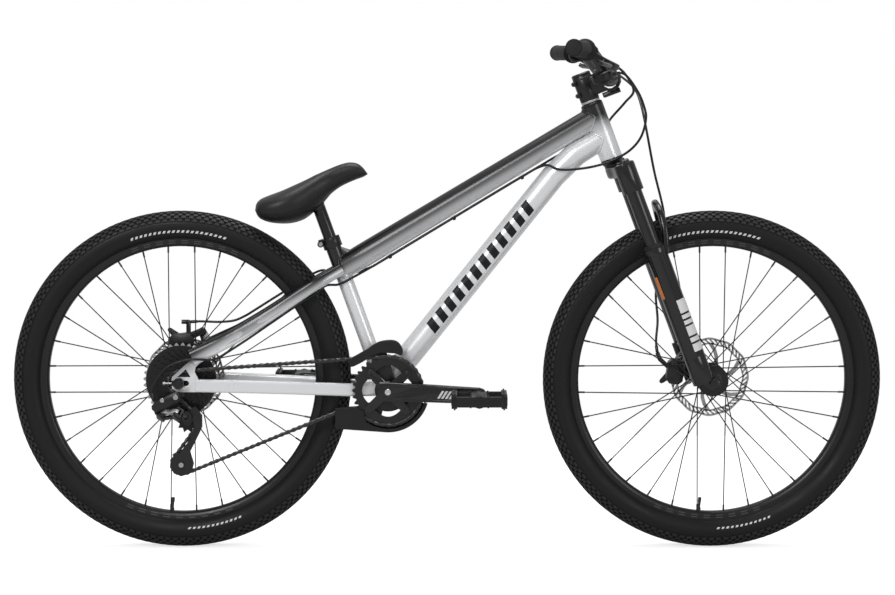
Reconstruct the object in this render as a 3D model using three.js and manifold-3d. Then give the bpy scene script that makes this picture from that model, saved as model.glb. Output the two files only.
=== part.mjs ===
// A dirt jump bicycle with 26 inch wheels, a suspension fork, disc brakes and one chainring.
// Millimetres. +X is forward, +Y is the rider's left, +Z is up. The origin lies on the floor,
// midway between the two axles. The chain side of the bicycle is its right side, at -Y.
import * as THREE from 'three';
import { mergeVertices } from 'three/addons/utils/BufferGeometryUtils.js';
import Module from 'manifold-3d';

const wasm = await Module();
wasm.setup();

// Gaps and cuts
const touchGap = 0.3;
const runningGap = 0.4;
const overrun = 4;

// Facets
const wheelSides = 36;
const roundSides = 12;
const smallSides = 8;
const tubeSides = 12;
const gripSides = 10;
const cableSides = 6;
const boltSides = 6;
const sprocketSides = 24;
const guideSides = 40;
const arcFacets = 6;
const smallArcFacets = 4;
const guideArcFacets = 9;

// Squareness of a section: 2 is round, more is boxier
const roundSection = 2;
const softSection = 2.8;
const boxySection = 4;

// Wheels
const wheelRadius = 338;
const wheelbase = 1060;
const tyreWidth = 60;
const rimOuterRadius = 283;
const rimInnerRadius = 267;
const rimWidth = 27;
const rimWall = 3;
const beadSeatDepth = 5.5;
const spokeCount = 32;
const spokeDiameter = 2.2;
const spokeCrossings = 3;
const spokeCrossGap = 2.6;
const hubBarrelRadius = 15;
const hubFlangeThickness = 3.6;
const spokeHoleInset = 4;
const frontHubWidth = 100;
const frontFlangeRadius = 31;
const frontRightFlange = 32;
const frontLeftFlange = 22;
const frontRotorOffset = 38;
const rearHubWidth = 135;
const rearFlangeRadius = 29;
const rearRightFlange = 17;
const rearLeftFlange = 32;
const rearRotorOffset = 52;
const hubEndRadius = 10;
const axleRadius = 5;
const axleNutRadius = 10.5;
const axleNutWidth = 10;

// Disc brakes
const rotorRadius = 80;
const rotorThickness = 1.8;
const rotorBandWidth = 15;
const rotorArmWidth = 9;
const rotorArmCount = 6;
const rotorCarrierRadius = 24;
const rotorSlotCount = 6;
const rotorSlotWidth = 4;
const rotorSlotLength = 8;
const rotorWaveDepth = 2.5;
const caliperReach = 70;
const frontPadsBehind = 60;
const frontPadsRise = 34;
const rearPadsBehind = 8;
const rearPadsRise = 74;
const caliperLength = 50;
const caliperHeight = 34;
const caliperOutboard = 17;
const caliperInboard = 12;
const caliperSlotOutboard = 4.4;
const caliperSlotInboard = 1.5;
const caliperEdge = 8;
const padRadius = 9;
const padThickness = 2.6;
const padGap = 0.5;
const brakeArmThickness = 4;
const brakeArmLength = 34;
const brakeArmRadius = 10;
const brakeArmTipRadius = 4.5;
const brakeArmShaftRadius = 5;
const brakeArmShaftLength = 9;
const brakePostSpan = 74;
const brakePostRadius = 7;
const brakeBarThickness = 9;
const frontArmDegrees = -110;
const rearArmDegrees = -48;
const brakeTabAhead = 41;
const brakeTabRise = 21;
const stopRadius = 4.5;
const stopLength = 14;
const rearStopRise = 40;
const rearStopLine = 59.5;
const frontStopBehind = 20;
const frontStopRise = 33;
const frontStopLine = 50.5;
const postEnd = -3;
const postLine = 50;
const postBottom = 7;

// Transmission
const chainPitch = 12.7;
const chainWidth = 6.4;
const chainHeight = 8.5;
const straightRingPitches = 3;
const toothHeight = 2.7;
const rollerRadius = 3.9;
const sprocketThickness = 1.8;
const ringTeeth = 34;
const ringBoltCount = 4;
const pulleyTeeth = 10;
const cogTeeth = [11, 13, 15, 17, 20, 23, 26, 30, 36];
const cogPitch = 4.35;
const chainLine = 50;
const outerCogLine = 61.8;
const freehubRadius = 17;
const ringBoltCircleRadius = 52;
const ringBandWidth = 17;
const ringTabRadius = 8;
const crankLength = 180;
const crankTiltDegrees = -2;
const crankRootHeight = 38;
const crankTipHeight = 32;
const crankThickness = 14;
const crankRootInset = 59.5;
const crankTipInset = 72;
const crankHeelLength = 17;
const crankWaistShare = 0.45;
const spiderThickness = 5;
const spiderHubRadius = 20;
const spindleRadius = 8.5;
const spindleReach = 72;
const pedalLength = 108;
const pedalWidth = 98;
const pedalHeight = 20;
const pedalRail = 11;
const pedalAxleRadius = 5;
const pedalBarrelRadius = 12.5;
const pedalBlockHeight = 28;
const pedalBlockWidth = 30;

// Frame
const bottomBracketBehind = 117;
const bottomBracketHeight = 320;
const shellRadius = 20;
const shellWidth = 73;
const shellBoreRadius = 17.5;
const cupFlangeThickness = 3;
const backplateThickness = 3;
const seatTubeSetback = 8;
const seatTubeLeanDegrees = 19.8;
const seatTubeLength = 317;
const seatTubeDiameter = 30;
const seatTubeJoin = 255;
const topTubeRearDiameter = 48;
const topTubeRearShares = [0.7, 0.92];
const topTubeFrontDiameter = 43;
const downTubeDiameter = 48;
const downTubeFootRise = 14;
const downTubeBendBack = 120;
const downTubeBendRise = 7;
const downTubeNeckBack = 64;
const downTubeNeckRise = 32;
const steeringLeanDegrees = 20.5;
const forkOffset = 35;
const crownRaceHeight = 474;
const cupHeight = 11.4;
const headTubeLength = 111;
const headTubeRadius = 22;
const headBoreRadius = 17;
const topTubeHeadShare = 0.79;
const downTubeHeadShare = 0.38;
const gussetLength = 26;
const gussetHeight = 14;
const gussetWidth = 16;
const stayWidth = 18;
const stayFrontHeight = 23;
const stayRearHeight = 32;
const stayRearAhead = 26;
const stayRearRise = 50;
const chainstayWidth = 14;
const chainstayHeight = 24;
const chainstayRearAhead = 34;
const chainstayRearDrop = 5;
const dropoutThickness = 7;
const dropoutLength = 38;
const dropoutRise = 47;
const dropoutRearLength = 16;
const dropoutDepth = 17.5;
const dropoutSlotHeight = 11;
const dropoutSlotLength = 26;
const cableStopLength = 12;
const cableStopWidth = 20;
const cableStopHeight = 3;
const cableStopShares = [0.165, 0.42, 0.69];
const bridgeShare = 0.06;
const hangerTongueHalf = 10.7;
const hangerTongueDepth = 3.2;
const hangerTongueRise = 18.7;
const cupTaperShare = 0.9;
const rearTabThickness = 6;

// Fork, measured along the steering axis from the foot of the axis, level with the front axle
const legSpread = 65;
const legAhead = 15;
const stanchionRadius = 16;
const stanchionBottom = 150;
const lowerLegRadius = 21.5;
const lowerLegTop = 293;
const lowerLegBottom = 8;
const legBoreBottom = 46;
const crownBottom = 412;
const crownShoulderRadius = 21;
const crownThickness = 26;
const crownDepth = 40;
const archTop = 367;
const archAhead = 51;
const archDepth = 13;
const archHeight = 20;
const archShares = [
  [-1, 0.6, -0.25], [-0.98, 0.82, 0.1], [-0.89, 0.96, 0.5], [-0.69, 1, 0.84], [-0.31, 1, 0.985],
  [0.31, 1, 0.985], [0.69, 1, 0.84], [0.89, 0.96, 0.5], [0.98, 0.82, 0.1], [1, 0.6, -0.25],
];
const crownBridgeShares = [[-1, 1, 0], [-0.5, 0.6, 0], [0, 0, 0], [0.5, 0.6, 0], [1, 1, 0]];
const steererRadius = 14.3;
const crownRaceThickness = 2;
const sealHeight = 12;
const lugFootShare = 0.8;
const forkLugRadius = 16;
const forkLugThickness = 13;

// Cockpit
const spacerHeight = 5;
const spacerRadius = 19;
const stemClampHeight = 51;
const stemClampRadius = 19.5;
const stemReach = 50;
const barClampRise = 23.4;
const barClampRadius = 22;
const barClampWidth = 46;
const boltBossRadius = 5;
const stemBodyShare = 0.8;
const pinchShares = [0.3, 0.78];
const pinchSlit = 2;
const faceplateBossShare = 0.55;
const faceplateWindowShare = 0.45;
const topCapHeight = 5;
const barRiseShares = [[0, 0, 0, 1], [0.27, 0, 0, 1], [0.41, 0.14, 0.08, 0.7], [0.92, 0.88, 0.874, 0.02]];
const barCentreRadius = 15.9;
const barEndRadius = 11.1;
const barWidth = 700;
const barEndAhead = -12;
const barEndRise = 82;
const barBendWidth = 300;
const barBendAhead = 28;
const barBendRise = 63.5;
const gripLength = 130;
const gripRadius = 15;
const gripEndRadius = 16;
const gripFlangeRadius = 21;
const gripRibCount = 8;
const gripRibDepth = 1;
const gripCapThickness = 4;
const gripFlangeThickness = 4;
const perchSetback = 9;
const perchWidth = 13;
const perchRingRadius = 16;
const perchThickness = 14;
const perchEndRadius = 8;
const adjusterInset = 35;
const adjusterReach = 57;
const leverDropDegrees = 50;
const leverPivotReach = 42;
const leverReach = 54;
const leverLength = 108;
const leverBladeWidth = 11;
const leverBladeThickness = 7;
const leverPinRadius = 3;
const leverBladeShares = [[0.08, 0.96], [0.28, 1], [0.65, 0.93], [0.94, 0.87]];
const leverTipShare = 1.15;
const adjusterLength = 22;
const adjusterRadius = 5;
const shifterSetback = 53;
const shifterAhead = 5;
const shifterDrop = 53;
const shifterEdge = 3;
const shifterStalkAhead = 12;
const shifterStalkRadius = 5.5;
const shifterRadius = 20;
const shifterHeight = 18;
const thumbLeverLength = 40;
const triggerLength = 31;
const thumbLeverRadius = 6.5;
const triggerRadius = 4.5;
const shiftLeverRootRadius = 7;
const thumbLeverDegrees = -165;
const triggerDegrees = 18;
const shiftLeverThickness = 4;
const shifterOutletShares = [0.78, 0.62, -0.1];

// Seat
const seatpostRadius = 12.7;
const seatpostExposed = 78;
const seatpostInsert = 160;
const seatpostDrop = 12;
const seatHeadRadius = 14;
const seatHeadWidth = 28;
const saddleLength = 221;
const saddleHeight = 123;
const saddleWidth = 138;
const saddleBehindHead = 128;
const saddleBelowHead = 42;
const saddleSlotHalf = 18;
const saddleRounds = 9;
const saddleCrownShare = 0.7;
const saddleFlatShare = 0.75;
const saddleEdgeShare = 0.55;
const saddleTuckShare = 0.25;
const clampHeight = 13;
const clampWall = 4;

// Rear derailleur
const hangerBehind = 6;
const hangerDrop = 27;
const hangerRadius = 10;
const cagePivotAhead = 15;
const cagePivotDrop = 66;
const guidePulleyAhead = 16;
const guidePulleyDrop = 77;
const tensionPulleyAhead = 3.6;
const tensionPulleyDrop = 162.5;
const shiftDrop = 28;
const linkLength = 38;
const linkSpacing = 16;
const linkHeight = 8;
const linkWidth = 10;
const linkPinRadius = 2.4;
const linkForkWall = 3.5;
const linkForwardShares = [0.933, -0.225, -0.28];
const linkPivotAhead = 1;
const linkPivotDrop = 57;
const linkPivotLine = 104;
const linkForkGap = 1.3;
const linkForkReach = 12;
const linkWaistShare = 0.3;
const knuckleReach = 38;
const knuckleDrop = 19;
const knuckleElbowRadius = 9;
const knucklePinRadius = 4;
const knuckleNeckShare = 0.6;
const cagePlateGap = 6.3;
const cagePlateThickness = 2;
const cagePinRadius = 3;
const cagePivotPinRadius = 4;
const cageEyeRadius = 9;
const cageShares = [
  [-0.267, -0.015], [-0.357, 0.124], [-0.172, 0.303], [0.091, 0.341], [0.433, 0.238], [0.692, 0.147],
  [0.913, 0.237], [1, 0], [0.807, -0.246], [0.737, -0.08], [0.456, 0.078], [0.103, 0.179],
  [-0.028, 0.113], [-0.1, -0.038],
];
const knuckleRadius = 11;
const knuckleWidth = 15;

// Chainguide, in shares of its radius from the crank centre
const guideRadius = 82;
const guideClearance = 1;
const guideWall = 2.8;
const guideTunnelHeight = 13;
const sliderBehind = 85;
const sliderDrop = 57;
const sliderRadius = 19.5;
const backplateMargin = 7;
const backplateArmRadius = 13;
const upperArmShare = [-0.22, 0.976];
const plateSectorDegrees = [-20, -92];
const plateWindowDegrees = [-40, -105];
const lowerGuideOuterDegrees = [-18, -92];
const lowerGuideInnerDegrees = [-125, -18];
const lowerPlateShares = [
  [-0.4, -0.976], [-1.28, -0.915], [-1.28, -0.415], [-0.77, -0.39], [-0.28, -0.244], [0, 0],
];
const plateWindowShares = [0.52, 0.8];
const upperGuideShares = [
  [-0.978, 0.726], [-0.907, 0.596], [-0.646, 0.695], [-0.415, 0.837], [-0.168, 0.941], [0.168, 0.92],
  [0.329, 0.876], [0.361, 0.959], [0.293, 1.128], [0.168, 1.221], [-0.107, 1.221], [-0.293, 1.16],
  [-0.539, 0.998], [-0.768, 0.866],
];
const lowerGuideShares = [[-0.4, -0.976], [-1.28, -0.915], [-1.28, -0.415], [-0.77, -0.39], [-0.585, -0.488]];
const lowerGuideInnerShare = 0.92;

// Cables
const cableRadius = 2.5;
const cableStep = 38;
const barCableStep = 12;
const cableClipLength = 8;
const cableClipHeight = 3;
const barClipRadius = 1.8;
const rearBrakeBarShare = 0.09;
const shiftBarShare = 0.115;
const cablePartingShare = 0.001;

// Points that follow from the sizes
const rearAxle = new THREE.Vector3(-wheelbase / 2, 0, wheelRadius);
const frontAxle = new THREE.Vector3(wheelbase / 2, 0, wheelRadius);
const crankCentre = new THREE.Vector3(-bottomBracketBehind, 0, bottomBracketHeight);
const steeringLean = THREE.MathUtils.degToRad(steeringLeanDegrees);
const seatTubeLean = THREE.MathUtils.degToRad(seatTubeLeanDegrees);
const steeringUp = new THREE.Vector3(-Math.sin(steeringLean), 0, Math.cos(steeringLean));
const steeringAhead = new THREE.Vector3(Math.cos(steeringLean), 0, Math.sin(steeringLean));
const steeringFoot = frontAxle.clone().addScaledVector(steeringAhead, -forkOffset);
const headTubeBottom = crownRaceHeight + touchGap + cupHeight + touchGap;
const headTubeTop = headTubeBottom + headTubeLength;
const stemBottom = headTubeTop + 3 * touchGap + cupHeight / 2 + spacerHeight;
const seatTubeUp = new THREE.Vector3(-Math.sin(seatTubeLean), 0, Math.cos(seatTubeLean));
const rearDropout = rearHubWidth / 2;
const rearHubRightEnd = rearRightFlange + 2 * hubFlangeThickness;
const cogLine = (index) => -(outerCogLine - index * cogPitch);

const vec = (x, y, z) => new THREE.Vector3(x, y, z);
const sideways = vec(0, 1, 0);

// Point at a distance ahead of the steering axis, to the left, and up along the axis
function steeringPoint(ahead, left, up) {
  const point = steeringFoot.clone().addScaledVector(steeringAhead, ahead).addScaledVector(steeringUp, up);
  return point.setY(left);
}

// Point on the seat tube's axis, at a distance up from the bottom bracket
function seatTubePoint(up) {
  return crankCentre.clone().add(vec(-seatTubeSetback, 0, 0)).addScaledVector(seatTubeUp, up);
}

// Solids from geometry

function solid(geometry) {
  const bare = geometry.clone();
  bare.deleteAttribute('normal');
  bare.deleteAttribute('uv');
  const merged = mergeVertices(bare);
  const index = merged.index.array;
  const corners = [];
  for (let i = 0; i < index.length; i += 3) {
    const [a, b, c] = index.slice(i, i + 3);
    if (a !== b && b !== c && c !== a) corners.push(a, b, c);
  }
  const vertProperties = new Float32Array(merged.attributes.position.array);
  return new wasm.Manifold(new wasm.Mesh({ numProp: 3, vertProperties, triVerts: new Uint32Array(corners) }));
}

function geometryOf(shape) {
  const { vertProperties, triVerts } = shape.getMesh();
  const geometry = new THREE.BufferGeometry();
  geometry.setAttribute('position', new THREE.BufferAttribute(new Float32Array(vertProperties), 3));
  geometry.setIndex(new THREE.BufferAttribute(new Uint32Array(triVerts), 1));
  geometry.computeVertexNormals();
  return geometry;
}

const join = (...shapes) => shapes.flat().reduce((whole, shape) => whole.add(shape));
const cut = (shape, ...tools) => tools.flat().reduce((rest, tool) => rest.subtract(tool), shape);
const moved = (shape, matrix) => shape.transform([...matrix.elements]);
const shifted = (shape, offset) => moved(shape, new THREE.Matrix4().setPosition(offset));

// Turns a shape's own +Z towards a direction and puts its origin at a point
function aimed(shape, from, toward) {
  const turn = new THREE.Quaternion().setFromUnitVectors(vec(0, 0, 1), toward.clone().normalize());
  return moved(shape, new THREE.Matrix4().makeRotationFromQuaternion(turn).setPosition(from));
}

// Revolves a profile of radii and heights about +Z. It runs up the outside, from axis to axis
// or closed on itself.
function turned(profile, sides = roundSides) {
  const closed = profile[0][0] === 0 ? profile : [...profile, profile[0]];
  const points = closed.map(([radius, height]) => new THREE.Vector2(radius, height));
  return solid(new THREE.LatheGeometry(points, sides).rotateX(Math.PI / 2));
}

function cylinder(radius, bottom, top, sides = roundSides) {
  return plate(circleOutline(0, 0, radius, sides), bottom, top);
}

function rod(from, to, radius, sides = roundSides) {
  return aimed(cylinder(radius, 0, from.distanceTo(to), sides), from, to.clone().sub(from));
}

// A cylinder that lies across the bicycle, from one Y to another
function crossRod(centre, radius, right, left, sides = roundSides) {
  return rod(vec(centre.x, right, centre.z), vec(centre.x, left, centre.z), radius, sides);
}

// Radius of a faceted hole that a round shaft turns in
const boreFor = (radius, sides = roundSides, gap = runningGap) => (radius + gap) / Math.cos(Math.PI / sides);

function outline(points) {
  const corners = points.map(([x, y]) => new THREE.Vector2(x, y));
  return new THREE.Shape(THREE.ShapeUtils.isClockWise(corners) ? corners.reverse() : corners);
}

function plate(shape, bottom, top) {
  const geometry = new THREE.ExtrudeGeometry(shape, { depth: top - bottom, bevelEnabled: false });
  return solid(geometry.translate(0, 0, bottom));
}

// An outline in X and Z with its thickness along Y
function sidePlate(shape, right, left) {
  const upright = new THREE.Matrix4().makeRotationX(Math.PI / 2);
  return moved(plate(shape, -left, -right), upright);
}

function box(centre, size) {
  const geometry = new THREE.BoxGeometry(size.x, size.y, size.z);
  return solid(geometry.translate(centre.x, centre.y, centre.z));
}

// The outline around two circles, as of a link or a tapered arm
function barOutline(first, firstRadius, second, secondRadius, arcSteps = smallArcFacets) {
  const [dx, dz] = [second[0] - first[0], second[1] - first[1]];
  const along = Math.atan2(dz, dx);
  const spread = Math.acos((firstRadius - secondRadius) / Math.hypot(dx, dz));
  const points = [];
  const arc = (centre, radius, from, to) => {
    for (let step = 0; step <= arcSteps; step += 1) {
      const angle = from + (to - from) * step / arcSteps;
      points.push([centre[0] + radius * Math.cos(angle), centre[1] + radius * Math.sin(angle)]);
    }
  };
  arc(second, secondRadius, along - spread, along + spread);
  arc(first, firstRadius, along + spread, along + 2 * Math.PI - spread);
  return outline(points);
}

function circleOutline(x, z, radius, sides) {
  const points = [];
  for (let side = 0; side < sides; side += 1) {
    const angle = side * 2 * Math.PI / sides;
    points.push([x + radius * Math.cos(angle), z + radius * Math.sin(angle)]);
  }
  return outline(points);
}

// Points of a unit section, its flats or sides at 1
function sectionPoints(sides, squareness) {
  const points = [];
  for (let side = 0; side < sides; side += 1) {
    const angle = (side + 0.5) * 2 * Math.PI / sides;
    const bend = (value) => Math.sign(value) * Math.abs(value) ** (2 / squareness);
    points.push([bend(Math.cos(angle)), bend(Math.sin(angle))]);
  }
  const reach = Math.max(...points.map(([x]) => x));
  return points.map(([x, y]) => [x / reach, y / reach]);
}

// A tube through stations of { at, wide, tall }: wide lies along across, tall lies square to it
function sweep(stations, { sides = tubeSides, across = sideways, squareness = roundSection } = {}) {
  const section = sectionPoints(sides, squareness);
  const rings = stations.map(({ at, wide, tall }, index) => {
    const before = stations[Math.max(index - 1, 0)].at;
    const after = stations[Math.min(index + 1, stations.length - 1)].at;
    const along = after.clone().sub(before).normalize();
    const side = across.clone().addScaledVector(along, -across.dot(along)).normalize();
    const over = along.clone().cross(side);
    return section.map(([x, y]) => (
      at.clone().addScaledVector(side, x * wide / 2).addScaledVector(over, y * tall / 2)
    ));
  });
  return loft(rings);
}

// A closed skin over rings of equal counts, with flat ends, or joined round into a loop
function loft(rings, loop = false) {
  const count = rings[0].length;
  const last = rings.length - 1;
  const positions = rings.flat().flatMap((point) => point.toArray());
  const corners = [];
  for (let ring = 0; ring < (loop ? rings.length : last); ring += 1) {
    const start = ring * count;
    const next = ((ring + 1) % rings.length) * count;
    for (let point = 0; point < count; point += 1) {
      const after = (point + 1) % count;
      corners.push(start + point, start + after, next + after, start + point, next + after, next + point);
    }
  }
  for (let point = 1; point < count - 1 && !loop; point += 1) {
    corners.push(0, point + 1, point, last * count, last * count + point, last * count + point + 1);
  }
  const geometry = new THREE.BufferGeometry();
  geometry.setAttribute('position', new THREE.Float32BufferAttribute(positions, 3));
  geometry.setIndex(corners);
  return solid(geometry);
}

const mirrored = (shape) => shape.mirror([0, 1, 0]);

// Wheels, each about its own +Z, which becomes the bicycle's left

function tyre() {
  const half = tyreWidth / 2;
  const section = wheelRadius - rimOuterRadius;
  const bead = rimOuterRadius - beadSeatDepth + runningGap + touchGap;
  const beadHalf = rimWidth / 2 - rimWall;
  const sideShares = [[0.05, 0.5], [0.35, 1], [0.85, 0.82], [1, 0.35]];
  const side = [[bead, beadHalf - runningGap]];
  sideShares.forEach(([out, wide]) => side.push([rimOuterRadius + section * out, half * wide]));
  const other = side.map(([radius, height]) => [radius, -height]);
  return turned([...other, ...side.reverse()], wheelSides);
}

function rim() {
  const half = rimWidth / 2;
  const seat = rimOuterRadius - beadSeatDepth;
  const bed = half - rimWall;
  return turned([
    [rimInnerRadius, -half / 2], [seat, -half], [rimOuterRadius, -half], [seat, -bed],
    [seat, bed], [rimOuterRadius, half], [seat, half], [rimInnerRadius, half / 2],
  ], wheelSides);
}

// The hub's shell about its axle, with a flange at each side and its laced spokes
function hub(rightFlange, leftFlange, rightEnd, leftEnd, flangeRadius) {
  const half = hubFlangeThickness / 2;
  const shell = turned([
    [0, -rightEnd], [hubEndRadius, -rightEnd], [hubEndRadius, -rightFlange - hubFlangeThickness],
    [flangeRadius, -rightFlange - half], [flangeRadius, -rightFlange + half],
    [hubBarrelRadius, -rightFlange + hubFlangeThickness], [hubBarrelRadius, leftFlange - hubFlangeThickness],
    [flangeRadius, leftFlange - half], [flangeRadius, leftFlange + half],
    [hubBarrelRadius, leftFlange + hubFlangeThickness], [hubBarrelRadius, leftEnd], [0, leftEnd],
  ]);
  const bore = cylinder(boreFor(axleRadius, smallSides), -rightEnd - overrun, leftEnd + overrun, smallSides);
  return join(cut(shell, bore), spokes(-rightFlange, flangeRadius, 0), spokes(leftFlange, flangeRadius, 1));
}

// One side's spokes: they leave the flange both ways round, every other one outside its neighbours
function spokes(flange, flangeRadius, side) {
  const step = 4 * Math.PI / spokeCount;
  const lacing = 4 * Math.PI * spokeCrossings / spokeCount;
  const hole = flangeRadius - spokeHoleInset;
  const end = rimInnerRadius * Math.cos(Math.PI / wheelSides) - touchGap - spokeDiameter / 8;
  const laid = [];
  for (let spoke = 0; spoke < spokeCount / 2; spoke += 1) {
    const rimAngle = spoke * step + side * step / 2;
    const hubAngle = rimAngle + (spoke % 2 === 0 ? lacing : -lacing);
    const outward = Math.sign(flange);
    const outside = outward * (spoke % 2 === 0 ? spokeCrossGap : -spokeCrossGap) / 2;
    const from = vec(hole * Math.cos(hubAngle), hole * Math.sin(hubAngle), flange + outside);
    const to = vec(end * Math.cos(rimAngle), end * Math.sin(rimAngle), outward * spokeCrossGap + outside);
    laid.push(rod(from, to, spokeDiameter / 2, 3));
  }
  return laid;
}

// A wavy brake disc: a slotted band, bent arms and a carrier ring
function rotor(offset) {
  const waves = rotorArmCount * 2;
  const points = [];
  for (let step = 0; step < waves * 2; step += 1) {
    const angle = step * Math.PI / waves;
    const radius = rotorRadius - (step % 2 === 0 ? rotorWaveDepth : 0);
    points.push([radius * Math.cos(angle), radius * Math.sin(angle)]);
  }
  const inner = rotorRadius - rotorBandWidth;
  const shape = outline(points);
  shape.holes.push(circleOutline(0, 0, inner, waves));
  const band = plate(shape, 0, rotorThickness);
  const carrier = plate(circleOutline(0, 0, rotorCarrierRadius, waves), 0, rotorThickness);
  const arms = [];
  const slots = [];
  for (let arm = 0; arm < rotorArmCount; arm += 1) {
    const angle = arm * 2 * Math.PI / rotorArmCount;
    const lead = angle + Math.PI / rotorArmCount;
    const rootRadius = rotorCarrierRadius - rotorArmWidth;
    const tipRadius = inner + rotorArmWidth / 2;
    const root = [rootRadius * Math.cos(angle), rootRadius * Math.sin(angle)];
    const tip = [tipRadius * Math.cos(lead), tipRadius * Math.sin(lead)];
    arms.push(plate(barOutline(root, rotorArmWidth / 2, tip, rotorArmWidth / 2, 1), 0, rotorThickness));
  }
  for (let slot = 0; slot < rotorSlotCount; slot += 1) {
    const angle = (slot + 0.5) * 2 * Math.PI / rotorSlotCount;
    const size = vec(rotorSlotLength, rotorSlotWidth, rotorThickness + 2 * overrun);
    const tool = box(vec(rotorRadius - rotorBandWidth / 2, 0, 0), size);
    slots.push(moved(tool, new THREE.Matrix4().makeRotationZ(angle)));
  }
  const bore = cylinder(boreFor(hubBarrelRadius, roundSides, touchGap), -overrun, rotorThickness + overrun);
  return shifted(cut(join(band, carrier, arms), slots, bore), vec(0, 0, offset - rotorThickness / 2));
}

// Sprockets

const pitchRadius = (teeth) => chainPitch / (2 * Math.sin(Math.PI / teeth));

// A toothed outline whose first valley lies at the given angle
function toothOutline(teeth, valleyAngle) {
  const points = [];
  for (let corner = 0; corner < 2 * teeth; corner += 1) {
    const radius = pitchRadius(teeth) + (corner % 2 === 0 ? -rollerRadius : toothHeight);
    const angle = valleyAngle + corner * Math.PI / teeth;
    points.push([radius * Math.cos(angle), radius * Math.sin(angle)]);
  }
  return outline(points);
}

// The chain's path, as circles that it goes round in turn: turning +1 is clockwise from the right

const tensionPulley = rearAxle.clone().add(vec(tensionPulleyAhead, 0, -tensionPulleyDrop));
const guidePulley = rearAxle.clone().add(vec(guidePulleyAhead, 0, -guidePulleyDrop));
const chainSlider = crankCentre.clone().add(vec(-sliderBehind, 0, -sliderDrop));
const chainRounds = [
  { centre: rearAxle, radius: pitchRadius(cogTeeth[0]), turning: 1 },
  { centre: crankCentre, radius: pitchRadius(ringTeeth), turning: 1 },
  { centre: chainSlider, radius: sliderRadius, turning: -1 },
  { centre: tensionPulley, radius: pitchRadius(pulleyTeeth), turning: 1 },
  { centre: guidePulley, radius: pitchRadius(pulleyTeeth), turning: -1 },
];

// The straight run from one round to the next: its angle and its length
function tangentRun(from, to) {
  const [dx, dz] = [to.centre.x - from.centre.x, to.centre.z - from.centre.z];
  const lean = from.turning * from.radius - to.turning * to.radius;
  const length = Math.sqrt(dx * dx + dz * dz - lean * lean);
  return { angle: Math.atan2(dz, dx) - Math.atan2(lean, length), length };
}

// Straight and curved stretches in order, each with a function that gives point and direction
function chainStretches() {
  const stretches = [];
  chainRounds.forEach((round, index) => {
    const next = chainRounds[(index + 1) % chainRounds.length];
    const previous = chainRounds[(index + chainRounds.length - 1) % chainRounds.length];
    const arriving = tangentRun(previous, round).angle;
    const leaving = tangentRun(round, next);
    const turn = round.turning * (arriving - leaving.angle);
    const sweepAngle = THREE.MathUtils.euclideanModulo(turn, 2 * Math.PI);
    const pointAt = (angle, along = 0) => {
      const offset = round.turning * round.radius;
      const x = round.centre.x - Math.sin(angle) * offset + Math.cos(angle) * along;
      const z = round.centre.z + Math.cos(angle) * offset + Math.sin(angle) * along;
      return { x, z, angle };
    };
    stretches.push({
      round,
      length: sweepAngle * round.radius,
      at: (distance) => pointAt(arriving - round.turning * distance / round.radius),
    });
    stretches.push({ length: leaving.length, at: (distance) => pointAt(leaving.angle, distance) });
  });
  return stretches;
}

const stretches = chainStretches();
const chainLength = stretches.reduce((sum, stretch) => sum + stretch.length, 0);
const linkCount = 2 * Math.round(chainLength / chainPitch / 2);

function chainPoint(distance) {
  let rest = THREE.MathUtils.euclideanModulo(distance, chainLength);
  for (const stretch of stretches) {
    if (rest <= stretch.length) return stretch.at(rest);
    rest -= stretch.length;
  }
  return stretches[0].at(0);
}

// The angle about a sprocket at which a pin of the chain lies nearest the middle of its wrap
function pinAngle(round) {
  const index = stretches.findIndex((stretch) => stretch.round === round);
  const before = stretches.slice(0, index).reduce((sum, stretch) => sum + stretch.length, 0);
  const spacing = chainLength / linkCount;
  const pin = Math.round((before + stretches[index].length / 2) / spacing) * spacing;
  const point = chainPoint(pin);
  return Math.atan2(point.z - round.centre.z, point.x - round.centre.x);
}

// The chain's distance to the right: it runs over from the outer cog to the chainring
function chainOffset(x) {
  const start = rearAxle.x + pitchRadius(cogTeeth[0]) + chainPitch;
  const end = crankCentre.x - pitchRadius(ringTeeth) - chainPitch;
  const share = THREE.MathUtils.clamp((x - start) / (end - start), 0, 1);
  return -THREE.MathUtils.lerp(outerCogLine, chainLine, share);
}

// Distances along the chain at which its band has a ring: two a link on the rounds, few between
function chainRings() {
  const distances = [];
  let start = 0;
  stretches.forEach(({ round, length }) => {
    const spacing = round ? chainPitch / 2 : straightRingPitches * chainPitch;
    const count = Math.ceil(length / spacing);
    for (let step = 0; step < count; step += 1) distances.push(start + length * step / count);
    start += length;
  });
  return distances;
}

// A closed band along the chain's path
function chainBand(height, width) {
  const corners = [[1, -1], [1, 1], [-1, 1], [-1, -1]];
  const rings = chainRings().map((distance) => {
    const { x, z, angle } = chainPoint(distance);
    return corners.map(([left, over]) => vec(
      x - over * Math.sin(angle) * height / 2,
      chainOffset(x) + left * width / 2,
      z + over * Math.cos(angle) * height / 2,
    ));
  });
  return loft(rings, true);
}

// The room that a sprocket's teeth sweep, which the chain's plates stand clear of
function toothRoom(centre, teeth, line) {
  const half = sprocketThickness / 2 + runningGap;
  const radius = pitchRadius(teeth) + toothHeight + runningGap;
  return crossRod(centre, radius, line - half, line + half, Math.max(teeth, sprocketSides));
}

function chain() {
  return cut(
    chainBand(chainHeight, chainWidth),
    toothRoom(rearAxle, cogTeeth[0], -outerCogLine),
    toothRoom(crankCentre, ringTeeth, -chainLine),
    toothRoom(tensionPulley, pulleyTeeth, -outerCogLine),
    toothRoom(guidePulley, pulleyTeeth, -outerCogLine),
  );
}

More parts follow.
